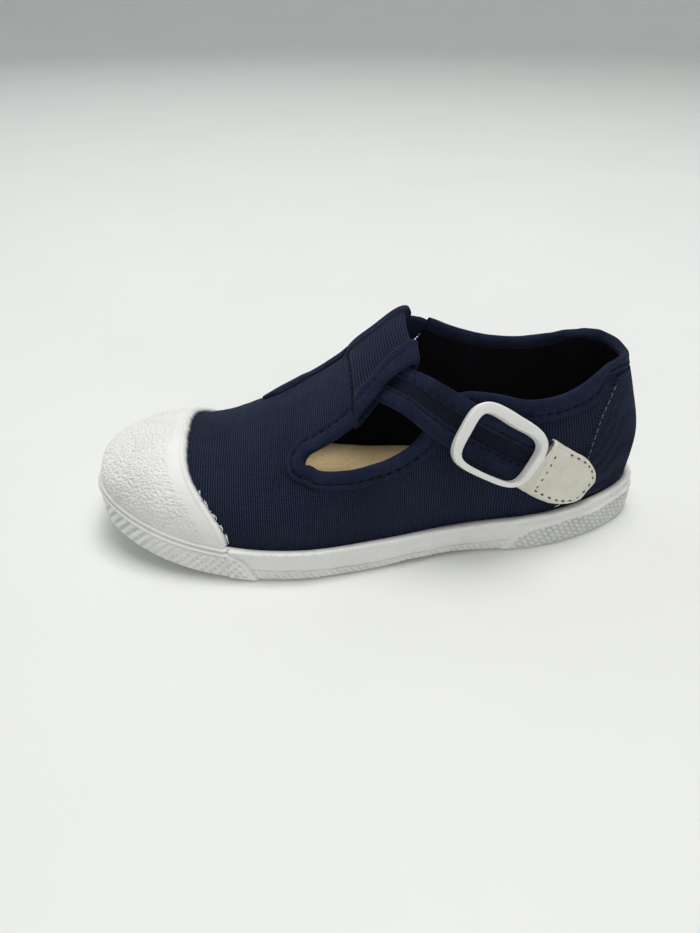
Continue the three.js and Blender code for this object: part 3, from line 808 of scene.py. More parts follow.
def canvas_finish(name, pitch=RIB_WEAVE, light=1.0):
    """Navy canvas: ribs across the piece's first length, finer yarn along them."""
    sheen = {"Sheen_Tint": (0.35, 0.45, 0.75, 1), "Sheen_Roughness": 0.45}
    finish = Finish(name, (0.02, 0.028, 0.06), 0.92, **CLOTH, **sheen)
    along, across = finish.weave()
    along = finish.math("ADD", along, finish.math("MULTIPLY_ADD", finish.noise(6.0, 3.0), 0.5, -0.25))
    half = finish.math("MULTIPLY", finish.math("FLOOR", finish.math("DIVIDE", along, pitch)), 0.5)
    yarn = finish.wave(finish.math("ADD", across, finish.math("MULTIPLY", half, YARN)), YARN)
    height = finish.blend((finish.wave(along, pitch), 0.6), (yarn, 0.4))
    thread = finish.noise(0.5)
    patch = finish.math("MULTIPLY_ADD", finish.noise(22.0, 3.0), 0.25, -0.12)
    # Painted shade and highlight: the colour follows the rib and yarn height, darker in the gaps and lighter
    # on the rib tops; the thread and patch noise are the cloth's own uneven tone.
    shade = finish.math("ADD", finish.blend((height, 0.7), (thread, 0.35)), patch)
    navy = ((0.25, (0.0018, 0.0028, 0.0095)), (0.55, (0.0065, 0.0098, 0.0255)), (0.85, (0.028, 0.038, 0.074)))
    # light scales the colours; the strap's 0.55 is painted shade.
    finish.colors(shade, *[(at, [light * v for v in color]) for at, color in navy])
    finish.bump(height, 0.16, 0.8)
    finish.bump(thread, 0.05, 0.5)
    return finish.material


def tape_finish():
    """Navy tape: a close, slightly furry weave."""
    sheen = {"Sheen_Tint": (0.35, 0.45, 0.8, 1), "Sheen_Roughness": 0.4}
    finish = Finish("tape", (0.016, 0.024, 0.055), 0.9, **CLOTH, **sheen)
    along, across = finish.weave()
    slant = finish.wave(finish.math("ADD", along, across), 0.5)
    back = finish.wave(finish.math("SUBTRACT", along, across), 0.5)
    height = finish.math("MULTIPLY", slant, back)
    fur = finish.noise(0.7, 3.0)
    shade = finish.blend((height, 0.3), (fur, 0.45), (finish.noise(5.0, 3.0), 0.4))
    navy = ((0.25, (0.0035, 0.0055, 0.016)), (0.55, (0.0095, 0.0142, 0.0365)), (0.85, (0.028, 0.039, 0.083)))
    finish.colors(shade, *navy)
    finish.bump(height, 0.08, 0.6)
    finish.bump(fur, 0.1, 0.5)
    return finish.material


def lining_finish():
    # Near-black: partly the lining's own dark navy and partly painted shade of the shoe's dark inside.
    finish = Finish("lining", (0.004, 0.005, 0.009), 0.95, Specular_IOR_Level=0.15)
    along, across = finish.weave()
    height = finish.math("MULTIPLY", finish.wave(along, 0.7), finish.wave(across, 0.7))
    shade = finish.blend((height, 0.5), (finish.noise(8.0, 3.0), 0.5))
    finish.colors(shade, (0.2, (0.002, 0.0025, 0.005)), (0.8, (0.008, 0.010, 0.018)))
    finish.bump(height, 0.06, 0.5)
    return finish.material


def rubber_finish(name, grain, depth):
    """White rubber with a faint bloom, with painted shade greying it in its pits, grooves and crevices."""
    inner = {"Subsurface_Weight": 0.08, "Subsurface_Radius": (1.0, 0.9, 0.8), "Subsurface_Scale": 1.0 * MM}
    finish = Finish(name, (0.80, 0.80, 0.77), 0.5, Specular_IOR_Level=0.4, **inner)
    fine = finish.noise(grain)
    bloom = finish.noise(14.0, 4.0)
    shade = finish.blend((fine, 0.35), (bloom, 0.65))
    # Painted shade: the stored recess depth darkens the rubber's colour towards the greys.
    shade = finish.math("SUBTRACT", shade, finish.math("MULTIPLY", finish.hollow_shade(), 0.42))
    greys = ((0.0, (0.50, 0.515, 0.52)), (0.35, (0.74, 0.745, 0.72)))
    whites = ((0.6, (0.82, 0.82, 0.79)), (0.85, (0.86, 0.855, 0.83)))
    finish.colors(shade, *greys, *whites)
    finish.rough(bloom, 0.42, 0.62)
    finish.bump(fine, depth, 0.6)
    return finish.material


def board_finish():
    """Tan leatherboard: fine felted grain."""
    finish = Finish("insole_board", (0.5, 0.36, 0.18), 0.85, Specular_IOR_Level=0.25)
    fine = finish.noise(0.55, 3.0)
    shade = finish.blend((fine, 0.5), (finish.noise(1.6), 0.3), (finish.noise(12.0, 3.0), 0.2))
    finish.colors(shade, (0.3, (0.50, 0.35, 0.17)), (0.5, (0.68, 0.52, 0.29)), (0.7, (0.74, 0.58, 0.34)))
    finish.bump(fine, 0.12, 0.6)
    return finish.material


def plastic_finish():
    """White moulded plastic, faintly worn."""
    gloss = {"Specular_IOR_Level": 0.5, "Coat_Weight": 0.15, "Coat_Roughness": 0.25}
    finish = Finish("buckle_plastic", (0.83, 0.83, 0.80), 0.34, **gloss)
    wear = finish.noise(6.0, 3.0)
    finish.colors(wear, (0.3, (0.80, 0.80, 0.775)), (0.7, (0.86, 0.86, 0.835)))
    finish.rough(wear, 0.26, 0.42)
    finish.bump(finish.noise(1.1, 3.0), 0.16, 0.6)
    return finish.material


def leather_finish():
    """Off-white coated leather: fine grain, faintly yellowed."""
    finish = Finish("tab_leather", (0.72, 0.70, 0.61), 0.55, Specular_IOR_Level=0.4)
    fine = finish.noise(0.4)
    patch = finish.noise(5.0, 4.0)
    shade = finish.blend((patch, 0.7), (fine, 0.3))
    finish.colors(shade, (0.3, (0.66, 0.635, 0.54)), (0.55, (0.74, 0.72, 0.63)), (0.8, (0.80, 0.785, 0.71)))
    finish.rough(patch, 0.45, 0.65)
    finish.bump(finish.cells(0.7), 0.08, 0.5)
    finish.bump(fine, 0.05, 0.5)
    return finish.material


def thread_finish(name, color):
    finish = Finish(name, color, 0.85, Specular_IOR_Level=0.2)
    twist = finish.noise(0.3)
    finish.colors(twist, (0.3, [0.6 * v for v in color]), (0.7, color))
    finish.bump(twist, 0.05, 0.6)
    return finish.material


# Canvas upper
LINE_TOP = 75.0
LINE_BACK = (90.0, 53.6)
SIDE_LINE = {
    -1: np.array([
        (CUTOUT_FRONT["lateral"], LINE_TOP),
        (CUTOUT_FRONT["lateral"] + 0.1, 35.4),
        *LATERAL_EDGE,
        LINE_BACK,
    ]),
    1: np.array([
        (CUTOUT_FRONT["medial"], LINE_TOP),
        (CUTOUT_FRONT["medial"] + 0.2, 38.0),
        *MEDIAL_CUTOUT_EDGE,
        *MEDIAL_COLLAR_EDGE,
        LINE_BACK,
    ]),
}


def edge_height(x, side):
    """Height of the canvas' top edge on one side."""
    return straight(SIDE_LINE[side][1:], x)


def distance_to_line(points, line):
    best = np.full(points.shape[:-1], 1e9)
    for a, b in zip(line, line[1:]):
        t = clamp01(((points - a) @ (b - a)) / ((b - a) @ (b - a)))
        best = np.minimum(best, np.linalg.norm(points - (a + t[..., None] * (b - a)), axis=-1))
    return best


def inside_canvas(points):
    """How far inside the canvas' outline points of the last are; negative in the openings."""
    x, y, z = points[..., 0], points[..., 1], points[..., 2]
    side = np.empty(x.shape)
    for which, line in SIDE_LINE.items():
        away = distance_to_line(points[..., [0, 2]], line)
        kept = (x < line[0][0]) | (z < edge_height(x, which))
        here = y < BAR_MIDDLE if which < 0 else y >= BAR_MIDDLE
        side = np.where(here, np.where(kept, away, -away), side)
    bar = np.minimum(y - bar_lateral(x), bar_medial(x) - y)
    return np.maximum(side, np.where(x < BAR_END + 0.6, bar, -9.0))


# Length round the last of one degree, about
DEGREE_LONG = 0.62
CREASES = [
    # centre x and angle, heading in degrees from the shoe's length, half length, half width, depth in mm
    (-47.0, 62.0, 80.0, 16.0, 3.2, -0.35),
    (-42.0, 100.0, 95.0, 18.0, 4.0, -0.3),
    (-33.0, 35.0, 30.0, 9.0, 2.4, -0.35),
    (-28.0, 22.0, 20.0, 12.0, 2.8, 0.3),
    (-12.0, 20.0, 5.0, 18.0, 3.0, -0.4),
    (8.0, 22.0, -15.0, 14.0, 3.0, 0.3),
    (24.0, 14.0, 10.0, 16.0, 3.0, -0.35),
    (62.0, 24.0, 75.0, 10.0, 2.6, -0.3),
    (74.0, 40.0, 88.0, 12.0, 3.0, -0.35),
    (50.0, 158.0, -20.0, 14.0, 3.0, -0.35),
    (-15.0, 160.0, -10.0, 18.0, 3.0, -0.35),
    (16.0, 157.0, 20.0, 12.0, 3.0, 0.3),
]


def creases(u, degrees):
    """Soft troughs and ridges of worn cloth, as a shift outwards."""
    shift = 0.0
    for x, angle, heading, long, wide, depth in CREASES:
        along = along_at(u) - x
        round_ = (degrees - angle) * DEGREE_LONG
        turn = math.radians(heading)
        run = along * math.cos(turn) + round_ * math.sin(turn)
        off = round_ * math.cos(turn) - along * math.sin(turn)
        shift = shift + depth * hump(run, 0.0, long) * hump(off, 0.0, wide)
    return shift


UPPER = {"rows": 340, "columns": 140, "under_tape": 0.9, "skirt": 3.0, "nap": 0.08}


def make_upper():
    """The canvas outside and its lining, from the tapes down to a skirt inside the sole's side wall."""
    u = even_places(UPPER["rows"])[:, None]
    degrees = np.linspace(0, 180, UPPER["columns"])[None, :]
    out = creases(u, degrees) * np.sin(np.radians(degrees)) ** 0.3
    out = out + UPPER["nap"] * soft_noise(joined(u * 60, degrees / 7), 1.0)
    surface = skin(u, degrees, 0.0)
    keep = inside_canvas(surface) > UPPER["under_tape"]
    skirt_low = feather_line(surface[:, :1, 0]) - UPPER["skirt"]
    inner_low = toe_spring(surface[:, :1, 0]) + SLAB + 0.3
    outer = skirted(skin(u, degrees, out), skirt_low)
    inner = skirted(skin(u, degrees, -CANVAS_THICK), np.minimum(inner_low, skirt_low))
    keep = np.hstack([keep[:, :1], keep, keep[:, -1:]])
    kept = keep[:-1, :-1] & keep[1:, :-1] & keep[1:, 1:] & keep[:-1, 1:]
    kept &= outer[:-1, :-1, 2] > 0
    quads = quad_grid(*keep.shape)[kept]
    build = Build()
    build.add(outer, quads, arc_weave(outer), 0)
    build.add(inner, quads[:, ::-1], arc_weave(inner), 1)
    rim = rim_edges(quads)
    far = rim + keep.size
    build.faces.append(np.stack([rim[:, 0], rim[:, 1], far[:, 1], far[:, 0]], axis=-1))
    build.slots.append(np.full(len(rim), 0))
    piece = build.object("canvas_upper", CANVAS, LINING)
    drop_loose(piece.data)
    place(piece, "canvas", "upper")


def skirted(points, low):
    """A grid of the last's points with one more column at each side, straight down to a level."""
    skirts = []
    for column_ in (points[:, :1].copy(), points[:, -1:].copy()):
        column_[..., 2] = np.minimum(column_[..., 2] - 0.5, low)
        skirts.append(column_)
    return np.hstack([skirts[0], points, skirts[1]])


def rim_edges(quads):
    """Edges that only one quad has, in its order."""
    edges = np.vstack([quads[:, [k, (k + 1) % 4]] for k in range(4)])
    keys = np.sort(edges, axis=1)
    _, index, count = np.unique(keys, axis=0, return_index=True, return_counts=True)
    return edges[index[count == 1]]


def drop_loose(mesh):
    work = bmesh.new()
    work.from_mesh(mesh)
    bmesh.ops.delete(work, geom=[v for v in work.verts if not v.link_faces], context="VERTS")
    work.to_mesh(mesh)
    work.free()


# Tapes that lie along a line on the last
BAR_START = -6.4
LATERAL_CORNER = [(-20.4, -22.3), (-21.9, -23.4), (-22.0, -25.0)]
LATERAL_FRONT = [(-20.0, 32.4), (-17.6, 31.5)]
MEDIAL_CORNER = [(-25.2, 11.2), (-26.8, 12.9), (-26.6, 15.6)]
MEDIAL_FRONT = [(-24.6, 35.4), (-22.3, 34.5)]
HEEL_FROM = 69.0
HEEL_REACH = 0.045
COLLAR_STEPS, CUTOUT_STEPS = 620, 170


def heel_points(side):
    """The collar's line round the back of the heel, up to its middle."""
    u = 1 - HEEL_REACH * np.linspace(1, 0.02, 9) ** 2.2
    return skin(u, angle_at_height(u, collar_height(u, side, 12), side), 0.0)


def collar_height(u, side, rounds):
    """Height of the collar at a place, which the heel's lean makes a matter of trial."""
    z = np.full(np.broadcast(u, side).shape, 53.0)
    for _ in range(rounds):
        x = along_at(u) + lean(u, z)
        z = np.where(side < 0, edge_height(x, -1), edge_height(x, 1))
    return z


def side_rows(rows, side):
    """Points of the last's side from rows of x and z."""
    return side_point(*np.array(rows).T, side)


def top_rows(rows):
    """Points of the last's top from rows of x and y."""
    return top_point(*np.array(rows).T)


def collar_line():
    """From the bar's lateral edge round the cut-out and along the collar to the strap's seam."""
    xs = np.linspace(BAR_START, -17.5, 6)
    bar = top_point(xs, bar_lateral(xs))
    lateral = side_rows([row for row in LATERAL_EDGE if -17.0 < row[0] < HEEL_FROM], -1)
    medial = side_rows([row for row in MEDIAL_COLLAR_EDGE if row[0] < HEEL_FROM], 1)[::-1]
    front = [bar, top_rows(LATERAL_CORNER), side_rows(LATERAL_FRONT, -1), lateral]
    return spline(np.vstack([*front, heel_points(-1), heel_points(1)[::-1], medial]), COLLAR_STEPS)


def cutout_line():
    """From the bar's medial edge round the medial cut-out to the strap's seam."""
    xs = np.linspace(BAR_START, -22.0, 7)
    bar = top_point(xs, bar_medial(xs))
    medial = side_rows([row for row in MEDIAL_CUTOUT_EDGE if row[0] > -21.0], 1)
    front = [bar, top_rows(MEDIAL_CORNER), side_rows(MEDIAL_FRONT, 1)]
    return spline(np.vstack([*front, medial]), CUTOUT_STEPS)


def line_frames(line, probe=2.0):
    """Places along a line on the last, and the directions from there into the canvas."""
    u, degrees = locate(line)
    here = skin(u, degrees, 0.0)
    out = unit(skin(u, degrees, 1.0) - here)
    into = unit(np.cross(out, unit(np.gradient(here, axis=0))))
    test = inside_canvas(here + probe * into) - inside_canvas(here - probe * into)
    return here, into * (1.0 if np.median(test) > 0 else -1.0)


def on_canvas(here, into, distance, height):
    """Points at a distance inside a line and a height above the canvas."""
    u, degrees = locate(here + into * np.asarray(distance)[..., None])
    return skin(u, degrees, height)


TAPE_PROFILE = np.array([
    # distance into the canvas, height above it, how much the stitches pull it in
    (4.75, 0.0, 0.0),
    (4.7, 0.45, 0.0),
    (4.45, 0.68, 0.0),
    (3.9, 0.76, 0.15),
    (3.45, 0.70, 0.6),
    (3.1, 0.58, 1.0),
    (2.75, 0.70, 0.6),
    (2.2, 0.84, 0.15),
    (1.2, 0.90, 0.0),
    (0.3, 0.86, 0.0),
    (-0.35, 0.55, 0.0),
    (-0.75, 0.05, 0.0),
    (-0.85, -0.7, 0.0),
    (-0.75, -1.3, 0.0),
    (-0.35, -1.8, 0.0),
    (0.3, -2.0, 0.0),
    (0.9, -2.0, 0.0),
    (1.35, -1.8, 0.0),
    (1.5, -1.5, 0.0),
    (1.5, -1.3, 0.0),
])
STITCH_PLACE = 3.1
TAPE_PULL = 0.55
TAPE_WAVE = 0.09
TAPE_WANDER = 0.16


def tape_height(run, pull, salt):
    """What stitches and handling do to the tape's height along its run."""
    wander = soft_noise(joined(run, pull * 5), 3.5, salt)
    return -TAPE_PULL * pull * (0.3 + 0.7 * swing(run, STITCH)) + TAPE_WAVE * wander


def make_tape(name, line, salt, node):
    """A tape folded over the canvas' edge and drawn in along its seam."""
    here, into = line_frames(line)
    run = run_of(here)
    wander = TAPE_WANDER * soft_noise(joined(run, 0 * run), 4.0, salt + 5)
    rows = []
    for distance, height, pull in TAPE_PROFILE:
        edge = wander if distance > 4 else 0 * run
        lift = height + (tape_height(run, pull, salt) if height > 0 else 0.0)
        rows.append(on_canvas(here, into, distance + edge, lift))
    points = np.stack(rows, axis=1)
    weave = joined(run[:, None], run_of(TAPE_PROFILE[:, :2]))
    build = Build()
    build.grid(points, weave, round_columns=True)
    close_ends(build, points, weave)
    place(build.object(name, TAPE), "tape", node)
    stitches = Build()
    add_stitches(stitches, on_canvas(here, into, STITCH_PLACE + 0 * run, 0.35), 0.27)
    place(stitches.object(name + "_stitches", NAVY_THREAD), "tape")


def close_ends(build, points, weave):
    """Lids over the first and last ring of a swept closed section."""
    count = points.shape[1]
    faces = [(k, (k + 1) % count, count, count) for k in range(count)]
    for row in (0, -1):
        ring, flat = (np.vstack([part[row], part[row].mean(axis=0)[None]]) for part in (points, weave))
        build.add(ring, faces, flat)


def capsule(rings=5, sides=6):
    """A small closed spindle along X, one unit long and wide."""
    turn = np.linspace(0, np.pi, rings)[:, None]
    round_ = np.linspace(0, 2 * np.pi, sides, endpoint=False)
    wide = np.sin(turn) ** 0.6
    return joined(-np.cos(turn), wide * np.cos(round_), wide * np.sin(round_))


CAPSULE = capsule()


def add_spindle(build, centre, along, out, half, radius, squash):
    side = unit(np.cross(out, along))
    shape = CAPSULE[..., :1] * half * along + CAPSULE[..., 1:2] * radius * side
    shape = shape + CAPSULE[..., 2:3] * radius * squash * out
    build.grid(centre + shape, round_columns=True)


def add_stitches(build, line, radius, pitch=STITCH, long=STITCH_LONG, start=0.0):
    """Stitches in a row along a line of points on the last."""
    run = run_of(line)
    u, degrees = locate(line)
    out = unit(skin(u, degrees, 1.0) - skin(u, degrees, 0.0))
    for at in np.arange(start + pitch / 2, run[-1] - pitch / 2, pitch):
        ends = [at - long / 2, at, at + long / 2]
        rear, centre, front = joined(*(np.interp(ends, run, line[:, k]) for k in range(3)))
        normal = joined(*(np.interp(at, run, out[:, k]) for k in range(3)))
        add_spindle(build, centre, unit(front - rear), unit(normal), long / 2, radius, STITCH_FLAT)


def make_tapes():
    make_tape("collar_tape", collar_line(), 11, "collar_binding")
    make_tape("cutout_tape", cutout_line(), 12, "cutout_binding")
    make_bar_tail()


TAIL = {"from": -16.0, "to": -33.5, "taper": 6.0, "y": 12.6, "low": 0.75, "rise": 0.35}
TAIL_PROFILE = [
    # distance into the canvas, height above it
    (-0.35, -0.2),
    (-0.3, 0.6),
    (0.1, 0.95),
    (1.0, 1.05),
    (2.6, 1.05),
    (3.9, 0.95),
    (4.3, 0.6),
    (4.35, -0.2),
]


def make_bar_tail():
    """The end of the bar's medial tape, which runs on over the canvas and narrows to a point."""
    xs = np.linspace(TAIL["from"], TAIL["to"], 40)
    line = top_point(xs, mix(bar_medial(xs), TAIL["y"], ease((-20 - xs) / 14)))
    here, into = line_frames(line)
    into = np.where((into[:, 1] > 0)[:, None], -into, into)
    taper = np.sqrt(clamp01((xs - TAIL["to"] + 0.1) / TAIL["taper"])) * 0.9 + 0.1
    lift = (TAIL["low"] + TAIL["rise"] * ease((-17 - xs) / 4)) * (0.5 + 0.5 * taper)
    points = np.stack([on_canvas(here, into, d * taper, h * lift) for d, h in TAIL_PROFILE], axis=1)
    weave = joined(run_of(here)[:, None], np.array(TAIL_PROFILE)[:, 0])
    build = Build()
    build.grid(points, weave, round_columns=True)
    close_ends(build, points, weave)
    place(build.object("bar_tape_tail", TAPE), "tape")


# Loop at the end of the throat bar
LOOP_TAPE = 4.7
LOOP_STEPS = 14
LOOP_SEAM = {"column": 6, "x": -7.2, "from": -18.2, "to": 6.0, "bow": 0.5}


def loop_section():
    """Across the loop, out and back: part of the width, mm past the edge, height."""
    left = np.array([
        (0.0, -0.55, 0.0),
        (0.0, -0.45, 0.55),
        (0.0, -0.1, 0.85),
        (0.0, 0.6, 0.95),
        (0.0, 1.6, 0.95),
        (0.0, 2.6, 0.85),
        (0.0, 3.1, 0.6),
        (0.0, 3.6, 0.85),
        (0.0, 4.4, 0.85),
        (0.0, LOOP_TAPE, 0.75),
        (0.0, LOOP_TAPE + 0.15, 0.4),
    ])
    right = left[::-1] * np.array([1, -1, 1]) + np.array([1.0, 0, 0])
    canvas = joined(np.linspace(0.26, 0.76, LOOP_STEPS), 0.0, 0.38)
    inside = joined(np.linspace(1.0, 0.0, LOOP_STEPS), 0.0, -0.5)
    return np.vstack([left, canvas, right, inside])


def make_loop():
    """The bar's end folded back on itself, its two edges in tape."""
    ring = spline(np.array(LOOP_MIDDLE + LOOP_MIDDLE[:1]), 110)[:-1]
    tangent = unit(np.roll(ring, -1, axis=0) - np.roll(ring, 1, axis=0))
    share, past, high = loop_section().T
    x0 = ring[:, :1] - tangent[:, 1:] * high
    lift = ring[:, 1:] + tangent[:, :1] * high
    x = x0 + LOOP_BULGE * (2 * share - 1) ** 2 * clamp01((x0 - BAR_END) / (8 - BAR_END))
    y = mix(bar_lateral(x), bar_medial(x), share) + past
    points = skin(place_of(x), angle_across(place_of(x), y), lift)
    run = run_of(np.vstack([ring, ring[:1]]))[:-1]
    is_tape = (share == 0) | (share == 1)
    build = Build()
    tape_columns = is_tape & np.roll(is_tape, -1) & (high > -0.4)
    build.sweep(points, joined(run[:, None], share * 24 + past), tape_columns, round_rows=True)
    place(build.object("loop_canvas", LOOP_CANVAS, TAPE), "canvas", "bar_loop")
    stitches = Build()
    top = (ring[:, 1] > 0.2) & (ring[:, 0] > -6.0)
    for column_ in (LOOP_SEAM["column"], len(share) - LOOP_STEPS - LOOP_SEAM["column"] - 1):
        line = points[top][:, column_]
        add_stitches(stitches, line[np.argsort(line[:, 0])], 0.27, start=0.5)
    seam = top_point(np.full(30, LOOP_SEAM["x"]), np.linspace(LOOP_SEAM["from"], LOOP_SEAM["to"], 30), 0.5)
    seam[:, 0] += LOOP_SEAM["bow"] * np.sin(np.linspace(0, 3.0, 30))
    add_stitches(stitches, seam, 0.3, **SEAM)
    place(stitches.object("loop_stitches", NAVY_THREAD), "tape")


# Strap
STRAP_SECTION = np.array([
    # part of the width, depth below the tape's top
    (0.0, 1.0), (0.0, 0.55), (0.012, 0.22), (0.04, 0.05), (0.09, 0.0), (0.18, 0.0), (0.25, 0.03),
    (0.29, 0.2), (0.32, 0.05), (0.345, 0.15), (0.355, 0.6), (0.40, 0.62), (0.45, 0.62), (0.5, 0.62),
    (0.55, 0.62), (0.60, 0.62), (0.645, 0.6), (0.655, 0.15), (0.68, 0.05), (0.71, 0.2), (0.75, 0.03),
    (0.82, 0.0), (0.91, 0.0), (0.96, 0.05), (0.988, 0.22), (1.0, 0.55), (1.0, 1.0), (1.0, 1.5),
    (0.97, 1.85), (0.9, 2.0), (0.7, 2.0), (0.5, 2.0), (0.3, 2.0), (0.1, 2.0), (0.03, 1.85), (0.0, 1.5),
])
STRAP_SEAMS = (0.29, 0.71)
STRAP_PULL = 0.36
STRAP_WAVE = 0.09
STRAP_WIDE = 15.0
STRAP_ENDS = [(14, 19.8, 130.6, 12.1, 143.6, 0.9)]
STRAP_LIFTS = {12: 0.35, 13: 0.8}


def strap_points(row, across, drop):
    table = [tuple(r[:5]) + (STRAP_LIFTS.get(r[0], r[5]),) for r in STRAP] + STRAP_ENDS
    back_x, back_angle, front_x, front_angle, lift = (column(table, k) for k in range(1, 6))
    x = mix(back_x(row), front_x(row), across)
    angle = mix(back_angle(row), front_angle(row), across)
    return skin(place_of(x), angle, lift(row) - drop)


def make_strap():
    """A ribbed web between two tapes, each drawn in along its seam."""
    row = np.linspace(-0.02, 14, 330)[:, None]
    across, drop = STRAP_SECTION.T
    run = run_of(strap_points(row[:, 0], 0.5, 0.0))[:, None]
    on_top = drop < 0.5
    pull = sum(clamp01(1 - np.abs(across - seam) / 0.05) for seam in STRAP_SEAMS) * on_top
    wave = STRAP_WAVE * soft_noise(joined(run / 3.0, across * 4), 1.0, 21) * on_top
    points = strap_points(row, across, drop + STRAP_PULL * pull * swing(run, STITCH) + wave)
    weave = joined(run, across * STRAP_WIDE)
    centre = (across > 0.35) & (across < 0.65) & (drop < 1)
    build = Build()
    build.sweep(points, weave, centre & np.roll(centre, -1))
    close_ends(build, points, weave)
    place(build.object("strap_web", TAPE, STRAP_CANVAS_SHADED), "tape", "strap")
    stitches = Build()
    for seam in STRAP_SEAMS:
        add_stitches(stitches, strap_points(np.linspace(0.05, 13.4, 300), seam, 0.3), 0.27)
    place(stitches.object("strap_stitches", NAVY_THREAD), "tape")


# Buckle and tab
def on_wall(piece, along, up, lift):
    """A point over the lateral wall, from a place beside a piece's centre."""
    c, s = math.cos(math.radians(piece["tilt"])), math.sin(math.radians(piece["tilt"]))
    x = piece["x"] + along * c - up * s
    z = piece["z"] + along * s + up * c
    u = place_of(x)
    return skin(u, angle_at_height(u, z, -1), lift)


def rounded_box(half, high, power, turn):
    return (np.abs(np.cos(turn) / half) ** power + np.abs(np.sin(turn) / high) ** power) ** (-1 / power)


def signed_power(v, power):
    return np.sign(v) * np.abs(v) ** power


def make_buckle():
    """A flat moulded frame: broad bars in front and above, thinner ones behind and below."""
    turn = np.linspace(0, 2 * np.pi, 260, endpoint=False)[:, None]
    outer = rounded_box(BUCKLE["half"], BUCKLE["high"], BUCKLE["power"], turn)
    half = BUCKLE["half"] - (BARS["front"] + BARS["rear"]) / 2
    high = BUCKLE["high"] - (BARS["top"] + BARS["bottom"]) / 2
    inner = rounded_box(half, high, BUCKLE["inner"], turn)
    window_x = inner * np.cos(turn) + (BARS["front"] - BARS["rear"]) / 2
    window_y = inner * np.sin(turn) - (BARS["top"] - BARS["bottom"]) / 2
    sag = BARS["sag"] * hump(window_x, 0.0, 0.45 * half)
    window_y = window_y - sag * np.where(np.sin(turn) > 0, 1.0, 0.6)
    section = np.linspace(0, 2 * np.pi, 28, endpoint=False)
    wide = 0.5 + 0.5 * signed_power(np.cos(section), BAR_POWERS["wide"])
    tall = 0.5 + 0.5 * signed_power(np.sin(section), BAR_POWERS["tall"])
    along = mix(window_x, outer * np.cos(turn), wide)
    up = mix(window_y, outer * np.sin(turn), wide)
    foot = BUCKLE_FOOT - BUCKLE_RISE * along / BUCKLE["half"]
    wobble = BUCKLE_WOBBLE * soft_noise(joined(along, up), 2.4, 81)
    lift = foot + tall * BUCKLE_THICK + np.where(tall > 0.5, wobble, 0)
    build = Build()
    build.grid(on_wall(BUCKLE, along, up, lift), round_rows=True, round_columns=True)
    place(build.object("buckle_frame", PLASTIC), "buckle_plastic", "buckle")


TAB_SEAM = 1.9
TAB_STITCH = 2.6
TAB_RELIEF = {"seam": 0.22, "puff": 0.07, "grain": 0.03, "ragged": 0.12}
TAB_ARC = {"from": 4.5, "power": 2.6, "past_fold": 1.7}
# Scale of the noise across the tab, from one edge to the middle
TAB_ACROSS = 9
TAB_FOLD = [
    # distance past the fold, half width, height
    (0.0, 0.4, -0.4),
    (0.9, 0.6, 0.22),
    (-1.2, 1.0, 0.3),
]
LOOSE_THREAD = [
    # along the tab, up, height
    (16.0, -6.6, 1.4),
    (16.15, -7.2, 2.0),
    (16.1, -7.8, 1.6),
    (16.35, -8.4, 1.2),
]


def tab_half(along):
    return TAB["half"] * (1 - clamp01(along / TAB["long"]) ** TAB["power"]) ** (1 / TAB["power"])


def tab_foot(along):
    return 0.3 + TAB_STEP["rise"] * ease((along - TAB_STEP["from"]) / TAB_STEP["run"])


def fold_at(v):
    """How far along the tab its slanted crease lies; v runs from -1 at the lower to 1 at the upper edge."""
    return 2.1 - 1.8 * v


def make_tab():
    """Coated leather with a slanted crease beside the buckle and a sunk seam along its edge."""
    along = TAB["long"] * np.sin(np.linspace(0, 1, 110)[:, None] * np.pi / 2 * 0.992)
    half = tab_half(along)
    v = np.linspace(-1, 1, 71)[None, :]
    inside_edge = np.minimum(half * (1 - np.abs(v)), TAB["long"] - along)
    past_fold = along - fold_at(v)
    fold = sum(height * hump(past_fold, at, wide) for at, wide, height in TAB_FOLD)
    seam = -TAB_RELIEF["seam"] * hump(inside_edge, TAB_SEAM, 0.5) * ease(past_fold / 1.5)
    at = joined(along, v * TAB_ACROSS)
    puff = TAB_RELIEF["puff"] * soft_noise(at, 2.2, 31) + TAB_RELIEF["grain"] * soft_noise(at, 0.9, 33)
    edge_at = joined(along, np.sign(v) * TAB_ACROSS)
    ragged = TAB_RELIEF["ragged"] * soft_noise(edge_at, 1.6, 32) * (np.abs(v) > 0.95)
    soft = 0.45 + 0.55 * (1 - np.exp(-inside_edge / 0.5))
    thick = TAB["thick"] * soft * np.maximum(1 - np.abs(v) ** 18, 0.25)
    foot = tab_foot(along) + 0 * v
    top = on_wall(TAB, along + 0 * v, half * v + ragged, foot + thick + fold + seam + puff)
    low = on_wall(TAB, along + 0 * v, half * v + ragged, foot)
    ring = np.concatenate([top, low[:, ::-1]], axis=1)
    weave = joined(along, np.concatenate([v, v[:, ::-1]], axis=1) * TAB_ACROSS)
    build = Build()
    build.grid(ring, weave, round_columns=True)
    close_ends(build, ring, weave)
    place(build.object("buckle_tab_leather", LEATHER), "tab_leather", "buckle_tab")
    make_tab_stitches()


